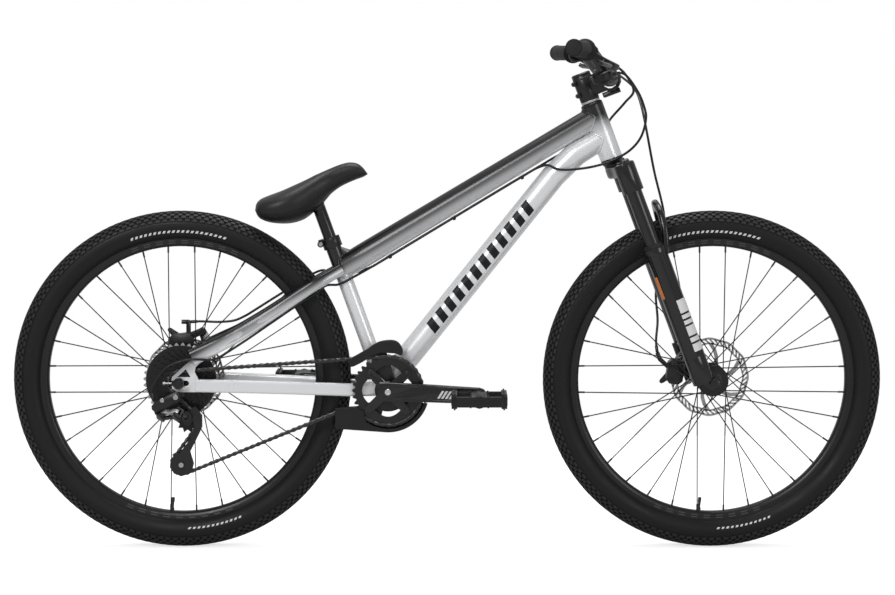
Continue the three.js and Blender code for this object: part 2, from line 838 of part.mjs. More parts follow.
// Nine cogs on the freewheel's body, about the rear axle
function cassette() {
  const half = sprocketThickness / 2;
  const cogs = cogTeeth.map((teeth, index) => {
    const valley = index === 0 ? pinAngle(chainRounds[0]) : 0;
    return sidePlate(toothOutline(teeth, valley), cogLine(index) - half, cogLine(index) + half);
  });
  const innerEnd = cogLine(cogTeeth.length - 1) + 2 * sprocketThickness;
  const body = crossRod(vec(0, 0, 0), freehubRadius, -outerCogLine - half, innerEnd);
  const bore = crossRod(vec(0, 0, 0), boreFor(hubEndRadius), -rearDropout, 0);
  return shifted(cut(join(cogs, body), bore), rearAxle);
}

// The bolts' places about the crank centre, in X and Z
const ringBolts = [];
for (let bolt = 0; bolt < ringBoltCount; bolt += 1) {
  const angle = (bolt + 0.5) * 2 * Math.PI / ringBoltCount;
  ringBolts.push([ringBoltCircleRadius * Math.cos(angle), ringBoltCircleRadius * Math.sin(angle)]);
}

function chainring() {
  const half = sprocketThickness / 2;
  const shape = toothOutline(ringTeeth, pinAngle(chainRounds[1]));
  shape.holes.push(circleOutline(0, 0, pitchRadius(ringTeeth) - ringBandWidth, sprocketSides));
  const tabs = ringBolts.map(([x, z]) => crossRod(vec(x, 0, z), ringTabRadius, -half, half, smallSides));
  return shifted(join(sidePlate(shape, -half, half), tabs), crankCentre.clone().setY(-chainLine));
}

// Cranks and pedals, about the crank centre with the arm along +X

function crankArm() {
  const station = (along, inset, tall) => (
    { at: vec(along, inset + crankThickness / 2, 0), wide: crankThickness, tall }
  );
  const arm = sweep([
    station(-crankHeelLength, crankRootInset, crankRootHeight),
    station(crankLength * crankWaistShare, crankRootInset + touchGap, (crankRootHeight + crankTipHeight) / 2),
    station(crankLength, crankTipInset, crankTipHeight),
  ], { sides: smallSides, squareness: boxySection });
  const outer = crankTipInset + crankThickness;
  const tip = crossRod(vec(crankLength, 0, 0), crankTipHeight / 2, crankTipInset, outer);
  const axleEnd = outer + touchGap + pedalWidth - pedalRail;
  const axle = crossRod(vec(crankLength, 0, 0), pedalAxleRadius, crankTipInset, axleEnd, smallSides);
  return join(arm, tip, axle);
}

function crankRight() {
  const root = -(chainLine + sprocketThickness / 2 + touchGap);
  const arms = ringBolts.map((bolt) => (
    sidePlate(barOutline([0, 0], spiderHubRadius / 2, bolt, ringTabRadius), root - spiderThickness, root)
  ));
  const boss = crossRod(vec(0, 0, 0), spiderHubRadius, -crankRootInset - touchGap, root + spiderThickness);
  const boreRadius = boreFor(spindleRadius, roundSides, touchGap);
  const bore = crossRod(vec(0, 0, 0), boreRadius, -spindleReach - overrun, 0);
  return cut(join(mirrored(crankArm()), boss, arms), bore);
}

function crankLeft() {
  const spindle = crossRod(vec(0, 0, 0), spindleRadius, -spindleReach, crankRootInset + overrun);
  const boss = crossRod(vec(0, 0, 0), spiderHubRadius, shellWidth / 2 + cupHeight, crankRootInset + overrun);
  return join(crankArm(), boss, spindle);
}

// A platform pedal about its axle, which runs along +Y from the crank
function pedal() {
  const [half, far] = [pedalLength / 2, pedalLength / 2 - pedalRail];
  const [start, end] = [pedalRail, pedalWidth - pedalRail];
  const rails = outline([
    [-far, 0], [far, 0], [half, start], [half, end],
    [far, pedalWidth], [-far, pedalWidth], [-half, end], [-half, start],
  ]);
  const near = pedalBlockWidth / 2;
  const windows = [-1, 1].map((way) => plate(
    outline([[way * near, start], [way * far, start], [way * far, end], [way * near, end]]),
    -pedalHeight,
    pedalHeight,
  ));
  const platform = cut(plate(rails, -pedalHeight / 2, pedalHeight / 2), windows);
  const barrel = crossRod(vec(0, 0, 0), pedalBarrelRadius, 0, pedalWidth);
  const lips = [-1, 1].map((way) => box(
    vec(way * (half - pedalRail / 2), pedalWidth / 2, 0),
    vec(pedalRail, end - start, pedalBlockHeight),
  ));
  const boreEnd = pedalWidth - pedalRail / 2;
  const bore = crossRod(vec(0, 0, 0), boreFor(pedalAxleRadius, smallSides), -overrun, boreEnd, smallSides);
  return cut(join(platform, barrel, lips), bore);
}

function bottomBracket() {
  const half = shellWidth / 2;
  const flangeStart = half + touchGap + backplateThickness + touchGap;
  const sleeve = shellBoreRadius - touchGap;
  const bore = boreFor(spindleRadius);
  const rightEnd = -flangeStart - cupFlangeThickness;
  const leftEnd = half + touchGap + cupFlangeThickness;
  return crossTurned([
    [bore, rightEnd], [shellRadius, rightEnd], [shellRadius, -flangeStart], [sleeve, -flangeStart],
    [sleeve, half + touchGap], [shellRadius, half + touchGap], [shellRadius, leftEnd], [bore, leftEnd],
  ], crankCentre);
}

// A turned profile about a line across the bicycle
function crossTurned(profile, centre, sides = roundSides) {
  return aimed(turned(profile, sides), centre, sideways);
}

// Frame

const stationOf = (at, diameter, sides = tubeSides) => {
  const across = diameter * Math.cos(Math.PI / sides);
  return { at, wide: across, tall: across };
};

const topTubeStart = seatTubePoint(seatTubeJoin);
const topTubeEnd = steeringPoint(-headTubeRadius / 3, 0, headTubeBottom + headTubeLength * topTubeHeadShare);
const topTubeRun = topTubeEnd.clone().sub(topTubeStart).normalize();
const topTubeOver = topTubeRun.clone().cross(sideways);

// A point on the top tube's middle line or under it, at a share of its length
function topTubePoint(share, drop = 0) {
  return topTubeStart.clone().lerp(topTubeEnd, share).addScaledVector(topTubeOver, -drop);
}

function topTube() {
  const [wide, tall] = topTubeRearShares.map((share) => share * topTubeRearDiameter);
  return sweep([
    { at: topTubeStart, wide, tall },
    stationOf(topTubePoint(topTubeRearDiameter / topTubeStart.distanceTo(topTubeEnd)), topTubeRearDiameter),
    stationOf(topTubeEnd, topTubeFrontDiameter),
  ]);
}

function downTube() {
  const up = headTubeBottom + headTubeLength * downTubeHeadShare;
  return sweep([
    stationOf(crankCentre.clone().add(vec(0, 0, downTubeFootRise)), downTubeDiameter),
    stationOf(steeringPoint(-downTubeBendBack, 0, headTubeBottom + downTubeBendRise), downTubeDiameter),
    stationOf(steeringPoint(-downTubeNeckBack, 0, headTubeBottom + downTubeNeckRise), downTubeDiameter),
    stationOf(steeringPoint(-headTubeRadius / 3, 0, up), topTubeFrontDiameter),
  ]);
}

// A small plate in the corner above the top tube and ahead of the seat tube
function seatGusset() {
  const corner = topTubeStart;
  const high = corner.clone().addScaledVector(seatTubeUp, topTubeRearDiameter / 2 + gussetHeight);
  const far = corner.clone().addScaledVector(topTubeRun, seatTubeDiameter / 2 + gussetLength)
    .addScaledVector(topTubeOver, topTubeRearDiameter / 3);
  const front = high.clone().addScaledVector(topTubeRun, seatTubeDiameter / 2);
  const shape = outline([corner, high, front, far].map(({ x, z }) => [x, z]));
  return sidePlate(shape, -gussetWidth / 2, gussetWidth / 2);
}

// Stay of the rear triangle, through stations given as shares of its run back, out and down
function stay(from, to, runShares, stationSize, squareness) {
  const stations = runShares.map(([back, out, down]) => ({
    at: vec(from.x + (to.x - from.x) * back, to.y * out, from.z + (to.z - from.z) * down),
    ...stationSize(back),
  }));
  return sweep(stations, { sides: smallSides, squareness });
}

const seatStayShares = [
  [0, 0.29, 0], [0.15, 0.61, 0.145], [0.24, 0.67, 0.24], [0.5, 0.715, 0.535],
  [0.7, 0.8, 0.745], [0.84, 0.93, 0.865], [1, 1, 1],
];
const chainstayShares = [
  [0, 0.35, 0], [0.22, 0.54, 0.08], [0.31, 0.64, 0.25], [0.74, 0.83, 0.75], [1, 1, 1],
];
const stayRearLine = rearDropout + dropoutThickness / 2;
const seatStayEnd = rearAxle.clone().add(vec(stayRearAhead, stayRearLine, stayRearRise));

function seatStay() {
  const height = (share) => THREE.MathUtils.lerp(stayFrontHeight, stayRearHeight, share ** 2);
  const size = (share) => ({ wide: stayWidth, tall: height(share) });
  return stay(topTubeStart, seatStayEnd, seatStayShares, size, softSection);
}

function chainstay() {
  const end = rearAxle.clone().add(vec(chainstayRearAhead, stayRearLine, -chainstayRearDrop));
  const size = () => ({ wide: chainstayWidth, tall: chainstayHeight });
  return stay(crankCentre, end, chainstayShares, size, boxySection);
}

// A bridge between the stays behind the seat tube
function stayBridge() {
  const at = (left) => vec(
    THREE.MathUtils.lerp(topTubeStart.x, seatStayEnd.x, bridgeShare),
    left,
    THREE.MathUtils.lerp(topTubeStart.z, seatStayEnd.z, bridgeShare),
  );
  const [[, firstOut], [nextBack, nextOut]] = seatStayShares;
  const half = stayRearLine * THREE.MathUtils.lerp(firstOut, nextOut, bridgeShare / nextBack);
  const stations = [-1, 0, 1].map((side) => ({ at: at(side * half), wide: stayWidth, tall: stayWidth / 2 }));
  return sweep(stations, { sides: smallSides, across: steeringAhead });
}

const dropoutShares = [
  [1, -1], [0.2, -1], [-0.35, -0.93], [-0.8, -0.6], [-1, 0], [-0.82, 0.27], [0.27, 0.73], [0.63, 1],
  [1.29, 1], [0.88, 0.68], [0.83, 0.48], [1, 0.2],
];
const dropoutWindowShares = [[-0.2, 0.26], [0.62, 0.26], [0.37, 0.6]];

function dropoutPoints(shares) {
  return shares.map(([ahead, up]) => [
    rearAxle.x + ahead * (ahead < 0 ? dropoutRearLength : dropoutLength),
    rearAxle.z + up * (up < 0 ? dropoutDepth : dropoutRise),
  ]);
}

function dropout() {
  const shape = outline(dropoutPoints(dropoutShares));
  shape.holes.push(outline(dropoutPoints(dropoutWindowShares)));
  const slotFront = [rearAxle.x + dropoutSlotLength - dropoutSlotHeight, rearAxle.z];
  const slotBack = [rearAxle.x - dropoutRearLength - overrun, rearAxle.z];
  const slot = barOutline(slotBack, dropoutSlotHeight / 2, slotFront, dropoutSlotHeight / 2);
  const outer = rearDropout + dropoutThickness;
  return cut(sidePlate(shape, rearDropout, outer), sidePlate(slot, rearDropout - overrun, outer + overrun));
}

// Little saddles under the top tube that hold the two cables
function cableStops() {
  return cableStopShares.map((share) => {
    const size = vec(cableStopLength, cableStopWidth, cableStopHeight);
    const drop = THREE.MathUtils.lerp(topTubeRearDiameter, topTubeFrontDiameter, share) / 2;
    const block = box(vec(0, 0, 0), size);
    const turn = new THREE.Matrix4().makeBasis(topTubeRun, sideways, topTubeOver);
    return moved(block, turn.setPosition(topTubePoint(share, drop)));
  });
}

const hangerCentre = rearAxle.clone().add(vec(-hangerBehind, 0, -hangerDrop));

// The hanger's ring and tongue, or with a gap round it the recess that it lies in
function hangerBody(gap, right) {
  const ring = crossRod(hangerCentre, hangerRadius + gap, right, -rearDropout + gap);
  const tongueSize = vec(2 * (hangerTongueHalf + gap), hangerTongueDepth + 2 * gap, hangerTongueRise + gap);
  const tongue = box(
    vec(rearAxle.x, -rearDropout - hangerTongueDepth / 2, hangerCentre.z + tongueSize.z / 2),
    tongueSize,
  );
  return [ring, tongue];
}

function hanger() {
  const outer = -(rearDropout + dropoutThickness);
  const bore = crossRod(hangerCentre, boreFor(knucklePinRadius), outer - overrun, -rearDropout + overrun);
  return cut(join(hangerBody(0, outer)), bore);
}

// A plate above the left stay's end that the rear brake is bolted to
function brakeTab() {
  const post = brakeTabPost();
  const foot = [seatStayEnd.x + stayWidth, seatStayEnd.z + stayRearHeight / 2];
  const shape = barOutline([post.x, post.z], brakePostRadius + 2 * touchGap, foot, stayRearHeight / 3);
  return sidePlate(shape, rearTabLine, rearTabLine + rearTabThickness);
}

const seatpostBore = boreFor(seatpostRadius, roundSides, touchGap);

function frame() {
  const half = shellWidth / 2;
  const tubes = join(
    crossRod(crankCentre, shellRadius, -half, half),
    rod(seatTubePoint(0), seatTubePoint(seatTubeLength), seatTubeDiameter / 2),
    rod(steeringPoint(0, 0, headTubeBottom), steeringPoint(0, 0, headTubeTop), headTubeRadius),
    topTube(), downTube(), seatGusset(), cableStops(), stayBridge(), brakeTab(),
  );
  const leftSide = join(seatStay(), chainstay(), dropout());
  const shellBore = crossRod(crankCentre, shellBoreRadius, -half - overrun, half + overrun);
  const headBore = rod(
    steeringPoint(0, 0, headTubeBottom - overrun),
    steeringPoint(0, 0, headTubeTop + overrun),
    headBoreRadius,
  );
  const boreBottom = seatTubePoint(seatTubeLength - seatpostInsert - 2 * overrun - seatpostDrop);
  const seatBore = rod(boreBottom, seatTubePoint(seatTubeLength + overrun), seatpostBore);
  const recess = hangerBody(touchGap, -(rearDropout + dropoutThickness + overrun));
  return cut(join(tubes, leftSide, mirrored(leftSide)), shellBore, headBore, seatBore, recess);
}

// Headset, spacer and seat clamp

function steeringTurned(profile) {
  return aimed(turned(profile), steeringFoot, steeringUp);
}

function lowerCup() {
  const bore = boreFor(steererRadius);
  const start = crownRaceHeight + touchGap;
  const flange = headTubeBottom - touchGap;
  const sleeve = headBoreRadius - touchGap;
  return steeringTurned([
    [bore, start], [headTubeRadius * cupTaperShare, start], [headTubeRadius, start + cupHeight / 2],
    [headTubeRadius, flange], [sleeve, flange], [sleeve, flange + cupHeight], [bore, flange + cupHeight],
  ]);
}

function upperCup() {
  const bore = boreFor(steererRadius);
  const start = headTubeTop + touchGap;
  const sleeve = headBoreRadius - touchGap;
  const top = start + cupHeight / 2;
  return steeringTurned([
    [bore, start - cupHeight], [sleeve, start - cupHeight], [sleeve, start], [headTubeRadius, start],
    [headTubeRadius, start + cupHeight / 4], [spacerRadius, top], [bore, top],
  ]);
}

function seatClamp() {
  const bottom = seatTubeLength - clampHeight - clampWall;
  const outer = seatTubeDiameter / 2 + clampWall;
  const collar = rod(seatTubePoint(bottom), seatTubePoint(seatTubeLength + clampWall), outer);
  const boltUp = seatTubePoint(seatTubeLength - clampHeight / 2);
  const lug = box(vec(0, 0, 0), vec(clampWall * 3, outer, clampHeight));
  const lean = new THREE.Matrix4().makeRotationY(-seatTubeLean).setPosition(boltUp.add(vec(-outer, 0, 0)));
  const tubeBore = boreFor(seatTubeDiameter / 2, roundSides, touchGap);
  const bore = rod(seatTubePoint(bottom - overrun), seatTubePoint(seatTubeLength + touchGap), tubeBore);
  const lipTop = seatTubePoint(seatTubeLength + clampWall + overrun);
  const lip = rod(seatTubePoint(seatTubeLength), lipTop, seatpostBore);
  return cut(join(collar, moved(lug, lean)), bore, lip);
}

// Seatpost and saddle

const seatTop = seatTubePoint(seatTubeLength + seatpostExposed);

function seatpost() {
  const bottom = seatTubePoint(seatTubeLength - seatpostInsert);
  const head = crossRod(seatTop, seatHeadRadius, -seatHeadWidth / 2, seatHeadWidth / 2);
  return join(rod(bottom, seatTop, seatpostRadius), head);
}

// Along the saddle from its rear: shares of its length, of its height for the top and the bottom,
// and of half its width
const saddleShares = [
  [0, 0.06, 0, 0.25], [0.035, 0.2, -0.05, 0.7], [0.135, 0.27, -0.07, 0.91], [0.27, 0.38, -0.03, 1],
  [0.4, 0.48, 0.03, 0.92], [0.52, 0.58, 0.12, 0.73], [0.61, 0.67, 0.26, 0.55], [0.7, 0.75, 0.43, 0.42],
  [0.81, 0.82, 0.58, 0.35], [0.905, 0.81, 0.65, 0.32], [0.965, 0.73, 0.68, 0.26], [1, 0.63, 0.62, 0.12],
];

// The cushion: a crowned top that is drawn in at the sides, over a flatter base
function saddle() {
  const steps = saddleRounds * 2;
  const rings = saddleShares.map(([back, top, bottom, wide]) => {
    const [high, low] = [top * saddleHeight, bottom * saddleHeight];
    const points = [];
    for (let step = 0; step < steps; step += 1) {
      const angle = (step + 0.5) * 2 * Math.PI / steps;
      const side = Math.sign(Math.cos(angle)) * Math.abs(Math.cos(angle)) ** saddleCrownShare;
      const lift = Math.sin(angle);
      const middle = low + (high - low) * saddleEdgeShare;
      const reach = lift > 0 ? high - middle : middle - low;
      const tuck = lift > 0 ? 1 : 1 - saddleTuckShare * Math.abs(lift);
      points.push(vec(
        seatTop.x - saddleBehindHead + back * saddleLength,
        side * tuck * wide * saddleWidth / 2,
        seatTop.z - saddleBelowHead + middle + reach * Math.sign(lift) * Math.abs(lift) ** saddleFlatShare,
      ));
    }
    return points;
  });
  const headRoom = crossRod(seatTop, boreFor(seatHeadRadius), -saddleSlotHalf, saddleSlotHalf);
  const postRoom = rod(seatTubePoint(seatTubeLength), seatTop, seatpostRadius + overrun);
  const slotRoom = box(
    vec(seatTop.x, 0, seatTop.z - saddleHeight / 2),
    vec(2 * (seatpostRadius + 2 * overrun), 2 * saddleSlotHalf, saddleHeight),
  );
  return cut(loft(rings), headRoom, postRoom, slotRoom);
}

// Chainguide

function ringArc(radius, [fromDegrees, toDegrees]) {
  const points = [];
  for (let step = 0; step <= guideArcFacets; step += 1) {
    const angle = THREE.MathUtils.degToRad(fromDegrees + (toDegrees - fromDegrees) * step / guideArcFacets);
    points.push([crankCentre.x + radius * Math.cos(angle), crankCentre.z + radius * Math.sin(angle)]);
  }
  return points;
}

const guidePoint = ([ahead, up]) => [crankCentre.x + ahead * guideRadius, crankCentre.z + up * guideRadius];

// The guide's flat carrier round the bottom bracket: an arm up, and a sector down to the skid
function backplate() {
  const ring = circleOutline(crankCentre.x, crankCentre.z, shellRadius + backplateMargin, sprocketSides);
  const armTip = guidePoint(upperArmShare);
  const arm = barOutline([crankCentre.x, crankCentre.z], shellRadius, armTip, backplateArmRadius);
  const sector = outline([...ringArc(guideRadius, plateSectorDegrees), ...lowerPlateShares.map(guidePoint)]);
  const right = -(shellWidth / 2 + touchGap + backplateThickness);
  const left = right + backplateThickness;
  const [windowInner, windowOuter] = plateWindowShares.map((share) => share * guideRadius);
  const window = outline([
    ...ringArc(windowOuter, plateWindowDegrees),
    ...ringArc(windowInner, plateWindowDegrees.toReversed()),
  ]);
  const whole = cut(
    join([ring, arm, sector].map((shape) => sidePlate(shape, right, left))),
    sidePlate(window, right - overrun, left + overrun),
  );
  const boreRadius = boreFor(shellBoreRadius, roundSides, 0);
  return cut(whole, crossRod(crankCentre, boreRadius, right - overrun, left + overrun));
}

// The guide's hollow: the chain's way through, and the chainring's room
function guideHollow() {
  const half = chainWidth / 2 + guideClearance;
  const ringRadius = pitchRadius(ringTeeth) + toothHeight + guideClearance;
  const ringRoom = crossRod(crankCentre, ringRadius, -chainLine - half, -chainLine + half, guideSides);
  return [chainBand(guideTunnelHeight, 2 * half), ringRoom];
}

function guideSolid(shape) {
  const inner = -(shellWidth / 2 + 2 * touchGap + backplateThickness);
  const outer = -(chainLine + chainWidth / 2 + guideClearance + guideWall);
  return cut(sidePlate(shape, outer, inner), guideHollow());
}

function upperGuide() {
  return guideSolid(outline(upperGuideShares.map(guidePoint)));
}

function lowerGuide() {
  const outer = ringArc(guideRadius, lowerGuideOuterDegrees);
  const inner = ringArc(guideRadius * lowerGuideInnerShare, lowerGuideInnerDegrees);
  const taco = guideSolid(outline([...outer, ...lowerGuideShares.map(guidePoint), ...inner]));
  const innerRadius = guideRadius * lowerGuideInnerShare - touchGap;
  const spiderRoom = crossRod(crankCentre, innerRadius, -2 * chainLine, 0, guideSides);
  return cut(taco, spiderRoom);
}

// Axles

function axle(halfWidth, centre) {
  const end = halfWidth + touchGap + axleNutWidth;
  const nut = (side) => {
    const [near, far] = [halfWidth + touchGap, end].map((distance) => side * distance);
    return crossRod(centre, axleNutRadius, Math.min(near, far), Math.max(near, far), boltSides);
  };
  return join(crossRod(centre, axleRadius, -end, end), nut(-1), nut(1));
}

// The rear axle, with the sleeve inside the cogs between the hub and the right dropout
function sleevedAxle() {
  const sleeve = crossRod(rearAxle, hubEndRadius, -rearDropout + touchGap, -rearHubRightEnd - touchGap);
  return join(axle(rearDropout + dropoutThickness, rearAxle), sleeve);
}

// Disc brakes. Each is drawn about its wheel's axle with the disc at Y 0, the pads straight above
// the axle and the outside of the bicycle towards +Y.

function caliperBody() {
  const [halfLength, halfHeight, edge] = [caliperLength / 2, caliperHeight / 2, caliperEdge];
  const shape = outline([
    [-halfLength, -halfHeight + edge], [-halfLength + edge, -halfHeight], [halfLength - edge, -halfHeight],
    [halfLength, -halfHeight + edge], [halfLength, halfHeight - edge], [halfLength - edge, halfHeight],
    [-halfLength + edge, halfHeight], [-halfLength, halfHeight - edge],
  ]);
  const body = shifted(sidePlate(shape, -caliperInboard, caliperOutboard), vec(0, 0, caliperReach));
  const slotTop = rotorRadius + 2 * padGap;
  const slot = box(
    vec(0, (caliperSlotOutboard - caliperSlotInboard) / 2, slotTop - rotorRadius / 2),
    vec(caliperLength + 2 * overrun, caliperSlotOutboard + caliperSlotInboard, rotorRadius),
  );
  return cut(body, slot);
}

// The hole in a caliper that its arm's shaft turns in
function brakeArmBore(pivot, rotorLine) {
  const outer = rotorLine + caliperOutboard;
  const radius = boreFor(brakeArmShaftRadius, smallSides);
  return crossRod(pivot, radius, outer - brakeArmShaftLength - touchGap, outer + overrun, smallSides);
}

function brakePad() {
  return crossRod(vec(0, 0, 0), padRadius, 0, padThickness);
}

// The arm that squeezes the pads, about its shaft
function brakeArm() {
  const lever = barOutline([0, 0], brakeArmRadius, [0, brakeArmLength], brakeArmTipRadius);
  const shaftEnd = touchGap + brakeArmThickness / 2;
  const shaft = crossRod(vec(0, 0, 0), brakeArmShaftRadius, -brakeArmShaftLength, shaftEnd, smallSides);
  return join(sidePlate(lever, touchGap, touchGap + brakeArmThickness), shaft);
}

// A cable's end stop: a barrel that the cable butts against, on a leg from the body
function cableStop(root, at, toward, right, left) {
  const leg = sidePlate(barOutline([root.x, root.z], stopRadius, [at.x, at.z], stopRadius), right, left);
  const end = at.clone().addScaledVector(toward, stopLength);
  return join(leg, rod(at, end, stopRadius, smallSides));
}

// Turns a brake part drawn about the axle, so that its pads lie towards a direction in X and Z
function placedBrake(shape, axleCentre, toPads, rotorLine) {
  const turn = Math.atan2(toPads[0], toPads[1]);
  const place = vec(axleCentre.x, rotorLine, axleCentre.z);
  return moved(shape, new THREE.Matrix4().makeRotationY(turn).setPosition(place));
}

const frontPads = [-frontPadsBehind, frontPadsRise];
const rearPads = [-rearPadsBehind, rearPadsRise];
const padsCentre = (axleCentre, toPads) => {
  const toward = vec(toPads[0], 0, toPads[1]).normalize();
  return axleCentre.clone().addScaledVector(toward, caliperReach);
};
const rearPivot = padsCentre(rearAxle, rearPads);
const frontPivot = padsCentre(vec(forkOffset, 0, 0), frontPads);

const rearTabLine = rearRotorOffset + caliperOutboard - rearTabThickness - touchGap;
function brakeTabPost() {
  return rearPivot.clone().add(vec(brakeTabAhead, 0, brakeTabRise));
}

const rearStopAt = rearPivot.clone().add(vec(stopLength, 0, rearStopRise)).setY(rearStopLine);
const frontStopAt = frontPivot.clone().add(vec(-frontStopBehind, 0, frontStopRise)).setY(frontStopLine);

function rearCaliper() {
  const body = placedBrake(caliperBody(), rearAxle, rearPads, rearRotorOffset);
  const post = brakeTabPost();
  const barRight = rearTabLine - touchGap - rearTabThickness;
  const foot = [rearPivot.x + brakePostRadius, rearPivot.z + brakePostRadius];
  const barShape = barOutline(foot, brakePostRadius, [post.x, post.z], brakePostRadius);
  const bar = sidePlate(barShape, barRight, rearTabLine - touchGap);
  const stop = cableStop(
    rearPivot.clone().add(vec(stopLength, 0, brakePostRadius)),
    rearStopAt,
    vec(-1, 0, 0),
    barRight,
    barRight + rearTabThickness,
  );
  return cut(join(body, bar, stop), brakeArmBore(rearPivot, rearRotorOffset));
}

// The front brake, in the steering frame: ahead, left and up along the steering axis
function frontCaliper() {
  const body = placedBrake(caliperBody(), vec(forkOffset, 0, 0), frontPads, frontRotorOffset);
  const bar = box(
    vec(postEnd - touchGap - brakeBarThickness / 2, postLine, postBottom + brakePostSpan / 2),
    vec(brakeBarThickness, 2 * brakePostRadius, brakePostSpan + 2 * brakePostRadius),
  );
  const leg = cylinder(boreFor(lowerLegRadius), -lowerLegTop, lowerLegTop);
  const legRoom = shifted(leg, vec(legAhead, legSpread, 0));
  const stop = cableStop(
    frontPivot.clone().add(vec(-brakePostRadius, 0, brakePostRadius)),
    frontStopAt,
    vec(0, 0, 1),
    frontStopLine - stopRadius,
    frontStopLine + stopRadius,
  );
  return cut(join(body, bar, stop), legRoom, brakeArmBore(frontPivot, frontRotorOffset));
}

// Fork, in the steering frame

function forkCrown() {
  const legs = [-1, 1].flatMap((side) => {
    const foot = vec(legAhead, side * legSpread, 0);
    const shoulder = crownRaceHeight - overrun;
    return [
      shifted(cylinder(stanchionRadius, stanchionBottom, shoulder), foot),
      shifted(turned([
        [0, crownBottom], [crownShoulderRadius, crownBottom], [crownShoulderRadius, shoulder - overrun / 2],
        [crownShoulderRadius - overrun / 2, shoulder], [0, shoulder],
      ]), foot),
    ];
  });
  const middle = crownRaceHeight - crownRaceThickness - crownThickness / 2;
  const bridge = sweep(crownBridgeShares.map(([out, ahead, drop]) => ({
    at: vec(legAhead * ahead, legSpread * out, middle - crownThickness * drop),
    wide: crownDepth,
    tall: crownThickness,
  })), { across: vec(1, 0, 0), squareness: boxySection });
  const race = cylinder(spacerRadius, middle, crownRaceHeight);
  const steerer = cylinder(steererRadius, middle, stemBottom + stemClampHeight - runningGap);
  return join(legs, bridge, race, steerer);
}

function forkLowers() {
  const bore = boreFor(stanchionRadius);
  const sides = [-1, 1].flatMap((side) => {
    const foot = vec(legAhead, side * legSpread, 0);
    const inner = frontHubWidth / 2 + touchGap;
    const lugTop = [legAhead, lowerLegBottom + lowerLegRadius];
    const lugTopRadius = lowerLegRadius * lugFootShare;
    const lugShape = barOutline([forkOffset, 0], forkLugRadius, lugTop, lugTopRadius, arcFacets);
    const [near, far] = [side * inner, side * (inner + forkLugThickness)];
    return [
      shifted(turned([
        [0, lowerLegBottom], [lowerLegRadius, lowerLegBottom], [lowerLegRadius, lowerLegTop - sealHeight],
        [lowerLegRadius + touchGap, lowerLegTop - sealHeight], [lowerLegRadius, lowerLegTop],
        [bore, lowerLegTop], [bore, legBoreBottom], [0, legBoreBottom],
      ]), foot),
      sidePlate(lugShape, Math.min(near, far), Math.max(near, far)),
    ];
  });
  const arch = sweep(archShares.map(([out, ahead, up]) => ({
    at: vec(archAhead * ahead, legSpread * out, lowerLegTop + (archTop - lowerLegTop) * up),
    wide: archDepth,
    tall: archHeight,
  })), { sides: smallSides, across: vec(1, 0, 0), squareness: softSection });
  const posts = [0, brakePostSpan].map((up) => rod(
    vec(legAhead, postLine, postBottom + up),
    vec(postEnd, postLine, postBottom + up),
    brakePostRadius,
    smallSides,
  ));
  const axleCentre = vec(forkOffset, 0, 0);
  const inner = frontHubWidth / 2 + touchGap;
  const outer = inner + forkLugThickness;
  const hubRoom = crossRod(axleCentre, boreFor(hubBarrelRadius, roundSides, 2 * runningGap), -inner, inner);
  const nutRoom = [-1, 1].map((side) => {
    const [near, far] = [side * outer, side * (legSpread + 2 * lowerLegRadius)];
    return crossRod(axleCentre, axleNutRadius + runningGap, Math.min(near, far), Math.max(near, far));
  });
  const slots = [-1, 1].map((side) => box(
    vec(forkOffset, side * (inner + outer) / 2, -forkLugRadius),
    vec(dropoutSlotHeight, forkLugThickness + 2 * overrun, 2 * forkLugRadius),
  ));
  const stanchionRooms = [-1, 1].map((side) => shifted(
    cylinder(bore, legBoreBottom, lowerLegTop + overrun),
    vec(legAhead, side * legSpread, 0),
  ));
  const axleRoom = crossRod(axleCentre, dropoutSlotHeight / 2, -outer - overrun, outer + overrun);
  return cut(join(sides, arch, posts), hubRoom, nutRoom, slots, axleRoom, stanchionRooms);
}

// Stem, in the steering frame

const barCentre = vec(stemReach, 0, stemBottom + barClampRise);

const faceplateBolts = [-1, 1].flatMap((side) => [-1, 1].map((up) => (
  vec(barCentre.x, side * barClampWidth / 3, barCentre.z + up * (barClampRadius + boltBossRadius / 2))
)));

function stemBoss(bolt, from, to) {
  return rod(vec(from, bolt.y, bolt.z), vec(to, bolt.y, bolt.z), boltBossRadius, smallSides);
}

function barBore() {
  return crossRod(barCentre, boreFor(barCentreRadius, roundSides, touchGap), -barClampWidth, barClampWidth);
}

const halfRingSize = vec(2 * barClampRadius, 2 * barClampWidth, 4 * barClampRadius);

